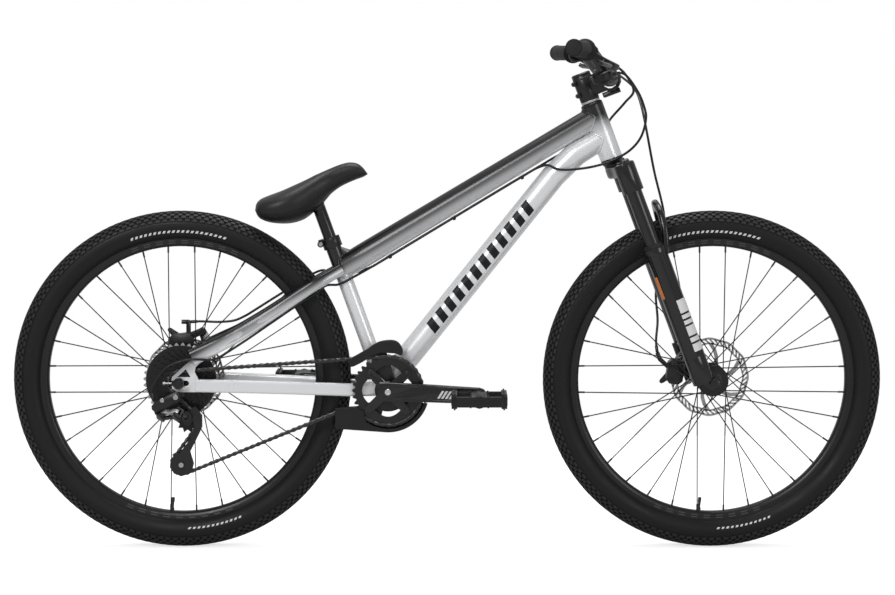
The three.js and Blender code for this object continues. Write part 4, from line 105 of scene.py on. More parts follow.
def ring_places(count, radius, level):
    """Places at equal angles round the Y axis at one Y, the first half a step on from forward."""
    return upright(polar(radius, (np.arange(count) + 0.5) * TURN / count), level)


def line(start, end, count=24):
    """Points at equal steps from start to end."""
    share = np.linspace(0, 1, count)[:, None]
    return start * (1 - share) + end * share


def joined(*shapes):
    """Several shapes as one: points in a row, with each face's numbers raised by the points before."""
    points, faces, start = [], [], 0
    for own, corners in shapes:
        points.append(own)
        faces += [corner + start for corner in corners]
        start += len(own)
    return np.concatenate(points), faces


def skin(rings, loop=False):
    """Quads between neighbouring rings of (rows, columns, 3), each ring closed on itself, with the two
    end rings filled, or joined to each other where loop is set."""
    rows, columns = rings.shape[:2]
    row = np.arange(rows if loop else rows - 1)[:, None] * columns
    column = np.arange(columns)[None, :]
    after = (column + 1) % columns
    below = (row + columns) % (rows * columns)
    quads = np.stack(np.broadcast_arrays(row + column, row + after, below + after, below + column), -1)
    faces = [quads.reshape(-1, 4)]
    if not loop:
        faces += [np.arange(columns)[None, ::-1], (rows - 1) * columns + np.arange(columns)[None]]
    return rings.reshape(-1, 3), faces


def section(sides, square=2.0):
    """Unit section: cosine and sine round the turn, each raised to 2 over the squareness, signs kept."""
    angle = (np.arange(sides) + 0.5) * TURN / sides
    round_points = np.stack([np.cos(angle), np.sin(angle)], -1)
    return np.sign(round_points) * np.abs(round_points) ** (2 / square)


def sweep(path, wide, tall=None, sides=32, square=2.0, across=SIDEWAYS, loop=False):
    """Ring k stands square to the path at its k-th point: half the width times the section's first
    number along the line across, and half the height times its second along the line square to both."""
    path = np.asarray(path, float)
    tall = wide if tall is None else tall
    ahead = np.roll(path, -1, 0) - np.roll(path, 1, 0) if loop else np.gradient(path, axis=0)
    ahead = unit(ahead)
    across = np.broadcast_to(across, path.shape)
    side = unit(across - ahead * np.sum(across * ahead, -1, keepdims=True))
    over = np.cross(ahead, side)
    shape = section(sides, square)
    half_wide = np.broadcast_to(wide, len(path))[:, None] / 2 * shape[:, 0]
    half_tall = np.broadcast_to(tall, len(path))[:, None] / 2 * shape[:, 1]
    rings = path[:, None] + side[:, None] * half_wide[..., None] + over[:, None] * half_tall[..., None]
    return skin(rings, loop)


def turned(profile, centre, axis=SIDEWAYS, sides=64, loop=False):
    """Revolution: a profile point (radius, distance) goes round the axis at that radius from it."""
    profile = np.asarray(profile, float)
    axis = unit(np.asarray(axis, float))
    helper = FORWARD if abs(axis[0]) < 0.9 else SIDEWAYS
    first = unit(np.cross(axis, helper))
    second = np.cross(axis, first)
    angle = np.arange(sides)[:, None] * TURN / sides
    spoke = np.cos(angle) * first + np.sin(angle) * second
    rings = centre + profile[:, :1, None] * spoke[None] + profile[:, 1:, None] * axis
    return skin(rings, loop)


def rod(start, end, radius, sides=16, chamfer=0.0004):
    """A round bar from start to end with small chamfers, as a revolution about its own line."""
    start, end = np.asarray(start, float), np.asarray(end, float)
    length = np.linalg.norm(end - start)
    profile = [
        (radius - chamfer, 0), (radius, chamfer), (radius, length - chamfer), (radius - chamfer, length),
    ]
    return turned(profile, start, end - start, sides)


def plate(outline, low, high, chamfer=0.0003):
    """A flat plate: the outline in X and Z carried from one Y to the other, drawn in at both faces."""
    outline = np.asarray(outline, float)
    before, after = np.roll(outline, 1, 0), np.roll(outline, -1, 0)
    run = unit(after - before)
    normal = np.stack([run[:, 1], -run[:, 0]], -1)
    area = np.sum(outline[:, 0] * after[:, 1] - outline[:, 1] * after[:, 0])
    inset = outline - normal * chamfer * np.sign(area)
    levels = [(inset, low), (outline, low + chamfer), (outline, high - chamfer), (inset, high)]
    return skin(np.stack([upright(flat, level) for flat, level in levels]))


def band(outer, inner, low, high):
    """A flat ring plate between two outlines of equal counts in X and Z, from one Y to the other."""
    corners = [(outer, low), (outer, high), (inner, high), (inner, low)]
    return skin(np.stack([upright(flat, level) for flat, level in corners]), loop=True)


def copies(shape, turns, places):
    """The shape once for each turn (3 by 3) and place (3): turn times point plus place."""
    points, faces = shape
    laid = np.einsum("kij,nj->kni", turns, points) + np.asarray(places)[:, None]
    step = np.arange(len(places))[:, None, None] * len(points)
    return laid.reshape(-1, 3), [(face[None] + step).reshape(-1, face.shape[-1]) for face in faces]


def moved(shape, place):
    """The shape with every point moved by place."""
    return shape[0] + np.asarray(place), shape[1]


def spline(points, steps=8):
    """Centripetal Catmull-Rom curve: cubic pieces through the points, with knots spaced by the root of
    the chord and end tangents from mirrored points."""
    points = np.asarray(points, float)
    points = np.concatenate([[2 * points[0] - points[1]], points, [2 * points[-1] - points[-2]]])
    knot = np.maximum(np.linalg.norm(np.diff(points, axis=0), axis=1) ** 0.5, 1e-6)[:, None]
    before, here, after, last = points[:-3], points[1:-2], points[2:-1], points[3:]
    one, two, three = knot[:-2], knot[1:-1], knot[2:]
    start = ((here - before) / one - (after - before) / (one + two) + (after - here) / two) * two
    end = ((after - here) / two - (last - here) / (two + three) + (last - after) / three) * two
    share = (np.arange(steps) / steps)[:, None, None]
    cubic = (
        (2 * share**3 - 3 * share**2 + 1) * here + (share**3 - 2 * share**2 + share) * start
        + (3 * share**2 - 2 * share**3) * after + (share**3 - share**2) * end
    )
    return np.concatenate([cubic.transpose(1, 0, 2).reshape(-1, 3), points[-2:-1]])


def distances(path):
    """How far along a path each of its points lies."""
    return np.concatenate([[0], np.cumsum(np.linalg.norm(np.diff(path, axis=0), axis=1))])


def points_at(path, run, at):
    """The path's points at given distances along it, by straight steps between its own."""
    return np.stack([np.interp(at, run, numbers) for numbers in path.T], -1)


def resampled(path, count):
    """Points at equal distances along a path."""
    run = distances(path)
    return points_at(path, run, np.linspace(0, run[-1], count))


# Pieces

def add(name, shape, body, look, replaces=(), edge=SHARP_EDGE):
    """A mesh object at the origin from a shape, with its faces turned outwards and its sharp edges kept."""
    points, faces = shape
    mesh = bpy.data.meshes.new(name)
    mesh.from_pydata(points.tolist(), [], [row for face in faces for row in face.tolist()])
    work = bmesh.new()
    work.from_mesh(mesh)
    bmesh.ops.recalc_face_normals(work, faces=work.faces)
    work.to_mesh(mesh)
    work.free()
    mesh.polygons.foreach_set("use_smooth", np.ones(len(mesh.polygons), bool))
    mesh.set_sharp_from_angle(angle=edge)
    mesh.materials.append(look)
    piece = bpy.data.objects.new(name, mesh)
    bpy.context.scene.collection.objects.link(piece)
    if body:
        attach(piece, body)
    if replaces:
        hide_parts(*replaces)
    return piece


# Finishes

# The sockets of a mix node when it mixes colours
MIX_FACTOR = 0
FIRST_COLOUR = 6
SECOND_COLOUR = 7
MIXED_COLOUR = 2

COAT_ROUGHNESS = 0.12
WEAR_SCALE = 14.0
WEAR_SHARE = 0.2
RELIEF_DEPTH = 0.0003


def coloured(colour):
    """The colour with its alpha."""
    return (*colour, 1.0)


def given(node, values):
    """The node, with its inputs set to the values by name or number."""
    for name, value in values.items():
        node.inputs[name].default_value = value
    return node


def finish(name, colour, roughness, metallic, coat, grain, bump, spread, stretch=(1, 1, 1), shine=0.5):
    """A finish with a fine grain in its colour and relief, and slow wear in its roughness."""
    made = bpy.data.materials.new(name)
    made.use_nodes = True
    nodes, links = made.node_tree.nodes, made.node_tree.links
    shader = given(nodes["Principled BSDF"], {
        "Metallic": metallic, "Coat Weight": coat, "Coat Roughness": COAT_ROUGHNESS,
        "Specular IOR Level": shine,
    })
    place = nodes.new("ShaderNodeTexCoord")
    laid = given(nodes.new("ShaderNodeMapping"), {"Scale": stretch})
    links.new(place.outputs["Object"], laid.inputs["Vector"])
    fine = given(nodes.new("ShaderNodeTexNoise"), {"Scale": grain, "Detail": 4})
    links.new(laid.outputs["Vector"], fine.inputs["Vector"])
    slow = given(nodes.new("ShaderNodeTexNoise"), {"Scale": WEAR_SCALE, "Detail": 5})
    links.new(place.outputs["Object"], slow.inputs["Vector"])
    tint = nodes.new("ShaderNodeMix")
    tint.data_type = "RGBA"
    given(tint, {
        FIRST_COLOUR: coloured([part * (1 - spread) for part in colour]),
        SECOND_COLOUR: coloured([min(part * (1 + spread), 1) for part in colour]),
    })
    links.new(fine.outputs["Fac"], tint.inputs[MIX_FACTOR])
    links.new(tint.outputs[MIXED_COLOUR], shader.inputs["Base Color"])
    gloss = given(nodes.new("ShaderNodeMapRange"), {
        "From Min": 0.3, "From Max": 0.7,
        "To Min": roughness * (1 - WEAR_SHARE), "To Max": roughness * (1 + WEAR_SHARE),
    })
    links.new(slow.outputs["Fac"], gloss.inputs["Value"])
    links.new(gloss.outputs["Result"], shader.inputs["Roughness"])
    relief = given(nodes.new("ShaderNodeBump"), {"Strength": bump, "Distance": RELIEF_DEPTH})
    links.new(fine.outputs["Fac"], relief.inputs["Height"])
    links.new(relief.outputs["Normal"], shader.inputs["Normal"])
    return made


SILVER = (0.72, 0.725, 0.74)
FADE_BLACK = (0.006, 0.006, 0.007)
# How far the paint has turned black at shares of the fade's way
FADE = [(0.02, 0), (0.5, 0.5), (0.72, 0.86), (0.9, 1)]

HEAD_TUBE_BOTTOM = 0.486
HEAD_TUBE_TOP = 0.597
TOP_TUBE_START = seat_tube(0.255)
TOP_TUBE_END = steer(-0.022 / 3, 0, HEAD_TUBE_BOTTOM + (HEAD_TUBE_TOP - HEAD_TUBE_BOTTOM) * 0.79)
TOP_TUBE_RUN = unit(TOP_TUBE_END - TOP_TUBE_START)
TOP_TUBE_OVER = np.cross(TOP_TUBE_RUN, SIDEWAYS)


def faded_paint(name, place_on, over, silver_below, black_above):
    """Silver paint that turns black between two distances from a place, measured along a direction."""
    made = finish(name, SILVER, 0.3, 0.3, 0.4, 1800, 0.04, 0.05)
    nodes, links = made.node_tree.nodes, made.node_tree.links
    shader = nodes["Principled BSDF"]
    silver = shader.inputs["Base Color"].links[0].from_socket
    place = nodes.new("ShaderNodeTexCoord")
    height = nodes.new("ShaderNodeVectorMath")
    height.operation = "DOT_PRODUCT"
    height.inputs[1].default_value = over
    links.new(place.outputs["Object"], height.inputs[0])
    level = float(np.dot(place_on, over))
    share = given(nodes.new("ShaderNodeMapRange"), {
        "From Min": level + silver_below, "From Max": level + black_above,
    })
    links.new(height.outputs["Value"], share.inputs["Value"])
    ramp = nodes.new("ShaderNodeValToRGB")
    stops = ramp.color_ramp.elements
    stops[0].position, stops[1].position = FADE[0][0], FADE[-1][0]
    stops[0].color, stops[1].color = (coloured([FADE[end][1]] * 3) for end in (0, -1))
    for position, black in FADE[1:-1]:
        stops.new(position).color = coloured([black] * 3)
    links.new(share.outputs["Result"], ramp.inputs["Fac"])
    mixed = nodes.new("ShaderNodeMix")
    mixed.data_type = "RGBA"
    mixed.inputs[SECOND_COLOUR].default_value = coloured(FADE_BLACK)
    links.new(silver, mixed.inputs[FIRST_COLOUR])
    links.new(ramp.outputs["Color"], mixed.inputs[MIX_FACTOR])
    links.new(mixed.outputs[MIXED_COLOUR], shader.inputs["Base Color"])
    return made


# The stays' rear ends from the rear axle, on the left side
SEAT_STAY_END = np.array([0.026, 0.071, 0.05])
CHAIN_STAY_END = np.array([0.034, 0.071, -0.005])
STAY_RUN = unit((REAR_AXLE + SEAT_STAY_END) * (FORWARD + UPWARD) - TOP_TUBE_START)
STAY_OVER = np.cross(SIDEWAYS, STAY_RUN)

PAINT = faded_paint("silver_paint_faded", TOP_TUBE_START, TOP_TUBE_OVER, -0.027, 0.013)
STAY_PAINT = faded_paint("silver_paint_stays", TOP_TUBE_START, STAY_OVER, -0.0145, 0.0085)
HEAD_PAINT = faded_paint("silver_paint_head", steer(0, 0, 0.55), STEER_UP, -0.012, 0.03)

# Each finish's colour, roughness, metallic share, coat, grain's scale, relief and spread of colour
GLOSS_BLACK = finish("gloss_black_paint", FADE_BLACK, 0.2, 0.0, 0.25, 900, 0.03, 0.2, shine=0.35)
SATIN_BLACK = finish("satin_black_metal", (0.008, 0.008, 0.009), 0.34, 0.0, 0.1, 700, 0.1, 0.2, shine=0.35)
ANODISED = finish("black_anodised", (0.007, 0.007, 0.008), 0.3, 0.0, 0.0, 600, 0.08, 0.25, shine=0.35)
BRIGHT = finish("bright_silver", (0.62, 0.63, 0.65), 0.26, 0.9, 0.0, 900, 0.08, 0.1, (1, 1, 6))
STEEL = finish("brushed_steel", (0.42, 0.42, 0.43), 0.32, 0.95, 0.0, 500, 0.12, 0.15, (1, 6, 1))
DARK_STEEL = finish("dark_steel", (0.05, 0.048, 0.047), 0.34, 0.8, 0.0, 500, 0.14, 0.3)
COG_BLACK = finish("blackened_steel", (0.018, 0.018, 0.018), 0.3, 0.6, 0.0, 700, 0.2, 0.5)
PLASTIC = finish("black_plastic", (0.008, 0.008, 0.009), 0.4, 0.0, 0.0, 1500, 0.12, 0.15, shine=0.3)
RUBBER = finish("black_rubber", (0.009, 0.009, 0.009), 0.55, 0.0, 0.0, 900, 0.2, 0.2, shine=0.25)
TYRE = finish("tyre_rubber", (0.007, 0.007, 0.0075), 0.48, 0.0, 0.0, 700, 0.3, 0.25, shine=0.22)
# The tread's rubber is the tyre's black rubber made lighter and shinier: a painted highlight on the blocks
# against the shaded grooves
TREAD_PAINTED_HIGHLIGHT = finish("tread_rubber_painted_highlight", (0.017, 0.017, 0.018), 0.55, 0.0, 0.0, 500, 0.4, 0.4, shine=0.3)
COVER = finish("seat_cover", (0.008, 0.008, 0.009), 0.4, 0.0, 0.0, 1300, 0.3, 0.2, shine=0.35)
HOUSING = finish("cable_housing", (0.006, 0.006, 0.007), 0.34, 0.0, 0.1, 1200, 0.06, 0.15, shine=0.3)
MARKING = finish("pale_marking", (0.62, 0.62, 0.63), 0.5, 0.0, 0.0, 900, 0.05, 0.06)
DARK_MARKING = finish("dark_marking", (0.005, 0.005, 0.006), 0.4, 0.0, 0.0, 900, 0.05, 0.1, shine=0.25)
FAINT_MARKING = finish("faint_marking", (0.05, 0.05, 0.053), 0.45, 0.0, 0.0, 900, 0.05, 0.1)
ORANGE = finish("orange_marking", (0.6, 0.16, 0.02), 0.45, 0.0, 0.2, 900, 0.05, 0.08)
REFLECTOR = finish("red_reflector", (0.12, 0.01, 0.008), 0.15, 0.0, 0.6, 300, 0.5, 0.3)
GREY = finish("grey_spacer", (0.45, 0.455, 0.46), 0.34, 0.7, 0.0, 900, 0.06, 0.08)


# CAD pieces that keep their shape: welded, with softened edges and their own finish

WELD_REACH = 0.00002
CAD_EDGE = 0.0005


def soften(piece):
    """Joins a CAD node's loose triangles and rounds its sharp edges, both by live modifiers."""
    piece.data.polygons.foreach_set("use_smooth", np.ones(len(piece.data.polygons), bool))
    weld = piece.modifiers.new("weld", "WELD")
    weld.merge_threshold = WELD_REACH
    bevel = piece.modifiers.new("edge", "BEVEL")
    bevel.width = CAD_EDGE
    bevel.segments = 2
    bevel.limit_method = "ANGLE"
    bevel.angle_limit = SHARP_EDGE
    bevel.harden_normals = True


def dress_kept_nodes():
    """Gives every CAD node the finish of its kind, and softens its edges."""
    looks = {
        PAINT: ["frame"],
        GREY: ["headset_spacer"],
        BRIGHT: ["derailleur_outer_link"],
        STEEL: ["cassette", "chain", "front_rotor", "rear_rotor", "rear_brake_pad", "front_brake_pad"],
        PLASTIC: ["chainguide_upper", "chainguide_lower", "shifter", "guide_pulley", "tension_pulley",
                  "pedal_right", "pedal_left"],
        GLOSS_BLACK: ["fork_crown", "fork_lowers", "crank_arm_right", "crank_arm_left", "seatpost"],
        RUBBER: ["grip_left", "grip_right", "bar_cables", "frame_cables", "front_brake_cable"],
        TYRE: ["front_tyre", "rear_tyre"],
        COVER: ["saddle"],
    }
    known = {node: look for look, nodes in looks.items() for node in nodes}
    for node, piece in frame["nodes"].items():
        piece.data.materials.clear()
        piece.data.materials.append(known.get(node, SATIN_BLACK))
        soften(piece)


dress_kept_nodes()


# Tyres: a round carcass with small blocks all over its tread

TYRE_ROUND = 0.0275
BLOCK_HEIGHT = 0.0032
TYRE_MIDDLE = WHEEL_RADIUS - BLOCK_HEIGHT - TYRE_ROUND
TYRE_STEPS = 180
CARCASS_HALF = math.radians(148)
RIB_ANGLES = np.radians([-132, -122, -74, 74, 122, 132])
RIB_HEIGHT = 0.0005
RIB_SPREAD = 0.028
BEAD_RADIUS = 0.2795
BEAD_HALF = 0.0095
BLOCKS_AROUND = 136
BLOCK_ROWS = 11
TREAD_HALF = math.radians(64)
# Half a block's length in the middle rows and at the shoulders, and half its width, in block steps
BLOCK_LENGTH = 0.3
SHOULDER_BLOCK_LENGTH = 0.36
BLOCK_WIDTH = 0.42
MARK_SINK = 0.0004
MARK_HEIGHT = 0.0007
# How much of each step round the wheel a mark takes
MARK_SHARE = 0.55


def tyre_point(centre, around, across, height):
    """The point over the carcass: the section's circle grown by the height, at an angle across it from
    the crown, carried round the wheel."""
    reach = TYRE_MIDDLE + (TYRE_ROUND + height) * np.cos(across)
    level = (TYRE_ROUND + height) * np.sin(across)
    return centre + np.stack(np.broadcast_arrays(reach * np.cos(around), level, reach * np.sin(around)), -1)


def carcass(centre):
    """The tyre's body: its section runs from bead to bead with a low rib at each shoulder and bead."""
    across = np.linspace(-CARCASS_HALF, CARCASS_HALF, 53)
    height = sum(RIB_HEIGHT * np.exp(-((across - rib) / RIB_SPREAD) ** 2) for rib in RIB_ANGLES)
    around = np.arange(TYRE_STEPS) * TURN / TYRE_STEPS
    outside = tyre_point(centre, around[None, :], across[:, None], height[:, None])
    beads = [centre + upright(polar(BEAD_RADIUS, around), level) for level in (BEAD_HALF, -BEAD_HALF)]
    return skin(np.concatenate([outside, beads]), loop=True)


def tread(centre):
    """Blocks in rows across the tread, every other row half a step on: each a box with a drawn-in top,
    its corners laid over the carcass by their angles."""
    rows = np.arange(BLOCK_ROWS)
    across = np.linspace(-TREAD_HALF, TREAD_HALF, BLOCK_ROWS)
    step = TURN / BLOCKS_AROUND
    around = np.arange(BLOCKS_AROUND)[None, :] * step + (rows % 2)[:, None] * step / 2
    side = np.array([-1, 1, 1, -1])
    fore = np.array([-1, -1, 1, 1])
    at_shoulder = np.abs(rows - BLOCK_ROWS // 2) > 3
    long_half = np.where(at_shoulder, SHOULDER_BLOCK_LENGTH, BLOCK_LENGTH) * step
    wide_half = BLOCK_WIDTH * (across[1] - across[0])
    levels = []
    for height, share in ((-MARK_SINK, 1.08), (BLOCK_HEIGHT, 0.84)):
        angle_around = around[..., None] + fore * long_half[:, None, None] * share
        angle_across = across[:, None, None] + side * wide_half * share
        levels.append(tyre_point(centre, angle_around, angle_across, height))
    points = np.stack(levels, -3).reshape(-1, 8, 3)
    start = np.arange(len(points))[:, None, None] * 8
    box = np.array([[4, 5, 6, 7], [0, 1, 5, 4], [1, 2, 6, 5], [2, 3, 7, 6], [3, 0, 4, 7], [3, 2, 1, 0]])
    return points.reshape(-1, 3), [(start + box).reshape(-1, 4)]


def sidewall_bars(centre, first, last, count, low, high):
    """Slanted bars laid a hair over the right and left sidewalls, between two angles round the wheel
    and two angles from the crown, in degrees."""
    starts = np.radians(np.linspace(first, last, count))
    width = math.radians(last - first) / count * MARK_SHARE
    slant = np.linspace(0, width / 2, 5)
    around = starts[:, None, None] + np.array([0, width]) + slant[:, None]
    bars = []
    for side in (-1, 1):
        across = side * np.radians(np.linspace(low, high, 5))[:, None]
        over = tyre_point(centre, around, across, MARK_HEIGHT)
        under = tyre_point(centre, around, across, -MARK_SINK)
        bars += [skin(ring) for ring in np.concatenate([over, under[..., ::-1, :]], -2)]
    return joined(*bars)


# Rims, hubs, spokes and discs

RIM_PROFILE = np.array([
    (267.0, -5.5), (268.2, -8.5), (271.5, -11.0), (276.5, -13.0), (283.0, -13.5), (284.2, -12.6),
    (283.6, -11.4), (279.2, -10.6), (277.4, -6.0), (277.0, 0.0), (277.4, 6.0), (279.2, 10.6),
    (283.6, 11.4), (284.2, 12.6), (283.0, 13.5), (276.5, 13.0), (271.5, 11.0), (268.2, 8.5), (267.0, 5.5),
]) * MILLI


def rim(centre):
    """The rim's section, carried round the axle."""
    return turned(RIM_PROFILE, centre, sides=180, loop=True)


RIM_BAR_RADII = np.array([0.2735, 0.2795])
RIM_BAR_SHARE = 0.6
RIM_BAR_LIFT = 0.00025
RIM_BAR_DEPTH = 0.0006


def rim_bars(centre, first, last, count):
    """Faint flat bars on both walls of the rim, between two angles in degrees."""
    width = math.radians(last - first) / count * RIM_BAR_SHARE
    wall = RIM_PROFILE[14:17][::-1]
    bars = []
    for side in (-1, 1):
        levels = side * (np.interp(RIM_BAR_RADII, wall[:, 0], wall[:, 1]) + RIM_BAR_LIFT)
        for start in np.radians(np.linspace(first, last, count)):
            angle = start + np.linspace(0, width, 5)
            rows = [upright(polar(radius, angle), level) for radius, level in zip(RIM_BAR_RADII, levels)]
            over = np.stack(rows, 1) + centre
            under = over - side * RIM_BAR_DEPTH * SIDEWAYS
            bars.append(skin(np.concatenate([over, under[:, ::-1]], 1)))
    return joined(*bars)


SPOKES = 32
SPOKE_RADIUS = 0.0012
CROSSINGS = 3
CROSS_GAP = 0.0026
HOLE_INSET = 0.004
RIM_INSIDE = 0.2669
NIPPLE_LENGTH = 0.012


def spoke_lines(flanges, flange_radius):
    """Both ends of every spoke: from a hole near the flange's edge to the rim, leaving both ways round
    by a number of crossings."""
    number = np.arange(SPOKES // 2)
    way = np.where(number % 2 == 0, 1, -1)
    lines = []
    for side, flange in enumerate(flanges):
        rim_angle = (number * 2 + side + 0.5) * TURN / SPOKES
        hub_angle = rim_angle + way * 2 * CROSSINGS * TURN / SPOKES
        outward = np.sign(flange)
        outside = outward * way * CROSS_GAP / 2
        start = upright(polar(flange_radius - HOLE_INSET, hub_angle), flange + outside)
        end = upright(polar(RIM_INSIDE, rim_angle), outward * CROSS_GAP + outside)
        lines += zip(start, end)
    return lines


def spokes(centre, lines):
    """Thin rods along the spoke lines, with heads at the flange."""
    rods = []
    for start, end in lines:
        length = np.linalg.norm(end - start)
        profile = [(0.0015, -0.001), (0.0015, 0.001), (SPOKE_RADIUS, 0.004), (SPOKE_RADIUS, length)]
        rods.append(turned(profile, centre + start, end - start, 6))
    return joined(*rods)


def nipples(centre, lines):
    """A small sleeve at the rim's end of each spoke."""
    profile = [(0.0014, 0), (0.0019, 0.001), (0.0019, NIPPLE_LENGTH), (0.0022, NIPPLE_LENGTH + 0.001)]
    sleeves = []
    for start, end in lines:
        run = unit(end - start)
        sleeves.append(turned(profile, centre + end - run * NIPPLE_LENGTH, run, 8))
    return joined(*sleeves)


VALVE_ANGLE = math.radians(-95)


def valve(centre):
    """The tyre's valve: a stem through the rim towards the axle, with a cap."""
    out = np.array([math.cos(VALVE_ANGLE), 0, math.sin(VALVE_ANGLE)])
    stem = [(0.004, 0.266), (0.004, 0.262), (0.0028, 0.2605), (0.0028, 0.25), (0.0034, 0.2495),
            (0.0034, 0.241), (0.0015, 0.24)]
    return turned(stem, centre, out, 16)


FRONT_HUB = np.array([
    (5.4, -48.5), (10, -48.5), (10.6, -44), (12, -37), (20, -34.6), (31, -33.8), (31, -30.2), (24, -29.5),
    (17, -26), (15, -20), (14, -5), (14.5, 10), (18, 16), (25, 19.6), (31, 20.2), (31, 23.8), (24, 25.5),
    (20, 30), (20, 36.6), (15.6, 37), (15.6, 41), (10.2, 44), (10, 48.5), (5.4, 48.5),
]) * MILLI
REAR_HUB = np.array([
    (5.4, -24.2), (9.8, -24.2), (16, -23), (20, -20), (29, -18.8), (29, -15.2), (22, -13.5),
    (16, -9), (15, 0), (15.5, 22), (20, 28), (29, 30.2), (29, 33.8), (24, 35.6), (20, 40), (20, 50.6),
    (15.6, 51), (15.6, 56), (10, 60), (9.8, 64.5), (5.4, 64.5),
]) * MILLI

DISC_HALF = 0.0009
DISC_WAVES = 12
DISC_WAVE = 0.0009
# Outer and inner radius of the disc's two hoops, and of its carrier
DISC_HOOPS = ((0.079, 0.0748), (0.0688, 0.0655))
DISC_CARRIER = (0.0245, 0.0165)
# Bridges and arms: their number, first radius, reach outwards, turn on the way, its power, and width
DISC_BRIDGES = (48, 0.0675, 0.0085, 0.13, 1, 0.0036)
DISC_ARMS = (6, 0.02, 0.0475, 0.5, 1.3, 0.0075)
DISC_BOLTS = 6
DISC_BOLT_RADIUS = 0.0205


def strip(path, width, level):
    """A flat strip along a path in X and Z: the path moved half the width to each side, between the
    disc's two faces."""
    path = np.asarray(path, float)
    run = unit(np.gradient(path, axis=0))
    normal = np.stack([run[:, 1], -run[:, 0]], -1) * width / 2
    edges = [(path + normal, -DISC_HALF), (path + normal, DISC_HALF), (path - normal, DISC_HALF),
             (path - normal, -DISC_HALF)]
    return skin(np.stack([upright(flat, level + height) for flat, height in edges], 1))


def disc(centre, level):
    """A brake disc: two wavy hoops with slanted bridges between them, bent arms and a round carrier."""
    around = np.arange(240) * TURN / 240
    wave = DISC_WAVE * np.cos(DISC_WAVES * around)
    hoops = [(outside + wave, inside + wave) for outside, inside in DISC_HOOPS]
    *parts, carrier = (band(polar(outside, around), polar(inside, around), level - DISC_HALF, level + DISC_HALF)
                       for outside, inside in (*hoops, DISC_CARRIER))
    share = np.linspace(0, 1, 5)
    for count, start, reach, turn, power, width in (DISC_BRIDGES, DISC_ARMS):
        for number in range(count):
            angle = number * TURN / count + turn * share**power
            parts.append(strip(polar(start + reach * share, angle), width, level))
    return moved(joined(*parts, carrier), centre)


def disc_bolts(centre, level):
    """Six domed bolts that hold the disc to its hub."""
    head = [(0.0042, DISC_HALF), (0.0042, 0.002), (0.0032, 0.0034), (0.0012, 0.0036)]
    places = ring_places(DISC_BOLTS, DISC_BOLT_RADIUS, level)
    return joined(*[turned(head, centre + place, SIDEWAYS, 12) for place in places])


def wheel(side, centre, hub_profile, flanges, flange_radius, disc_level):
    """One wheel's pieces, which all ride on its body and stand for its CAD nodes."""
    body = f"{side}_wheel"
    add(f"{side}_tyre_carcass", carcass(centre), body, TYRE, [f"{side}_tyre"])
    # The tread blocks' lighter rubber is a painted highlight
    add(f"{side}_tread_blocks", tread(centre), body, TREAD_PAINTED_HIGHLIGHT)
    marks = joined(sidewall_bars(centre, 72, 108, 21, 105, 115),
                   sidewall_bars(centre, -88, -68, 12, 105, 113))
    add(f"{side}_sidewall_marks", marks, body, MARKING)
    add(f"{side}_rim_hoop", rim(centre), body, ANODISED, [f"{side}_rim"])
    bars = joined(rim_bars(centre, 66, 108, 9), rim_bars(centre, -114, -72, 9))
    add(f"{side}_rim_marks", bars, body, FAINT_MARKING)
    lines = spoke_lines(flanges, flange_radius)
    hub = joined(turned(hub_profile, centre, loop=True), spokes(centre, lines))
    add(f"{side}_hub_and_spokes", hub, body, ANODISED, [f"{side}_hub"])
    add(f"{side}_nipples", nipples(centre, lines), body, DARK_STEEL)
    add(f"{side}_valve", valve(centre), body, DARK_STEEL)
    add(f"{side}_disc", disc(centre, disc_level), body, STEEL, [f"{side}_rotor"])
    add(f"{side}_disc_bolts", disc_bolts(centre, disc_level), body, DARK_STEEL)


wheel("front", FRONT_AXLE, FRONT_HUB, (-0.032, 0.022), 0.031, 0.038)
wheel("rear", REAR_AXLE, REAR_HUB, (-0.017, 0.032), 0.029, 0.052)


# Frame: round skins over the CAD frame's facets, with weld beads where the tubes meet

TUBE_GROWTH = 0.0004
DOWN_TUBE_FOOT = CRANK + 0.014 * UPWARD
# The down tube's upper end: where it starts to bend, ends its bend and meets the head tube
NECK_LOW = steer(-0.12, 0, 0.493)
NECK_HIGH = steer(-0.064, 0, 0.518)
NECK_END = steer(-0.0073, 0, 0.5282)
DOWN_TUBE_RUN = unit(NECK_LOW - DOWN_TUBE_FOOT)
DOWN_TUBE_WIDE = 0.048
NECK_WIDE = 0.043
# Width and height of the top tube at its rear end, where it is full, and at its front end
TOP_TUBE_WIDE = (0.0348, 0.048, 0.043)
TOP_TUBE_TALL = (0.0457, 0.048, 0.043)
TOP_TUBE_FULL = 0.048
SEAT_TUBE_TOP = 0.317
HEAD_TUBE_RADIUS = 0.022
SEAT_TUBE_RADIUS = 0.0153
SHELL_RADIUS = 0.0206
SHELL_HALF = 0.0365


def frame_tube(name, path, wide, tall=None, square=2.0, paint=PAINT):
    """A smooth tube over the frame's own, in its paint."""
    tall = wide if tall is None else tall
    shape = sweep(path, wide + TUBE_GROWTH, tall + TUBE_GROWTH, 48, square)
    return add(name, shape, "chassis", paint)


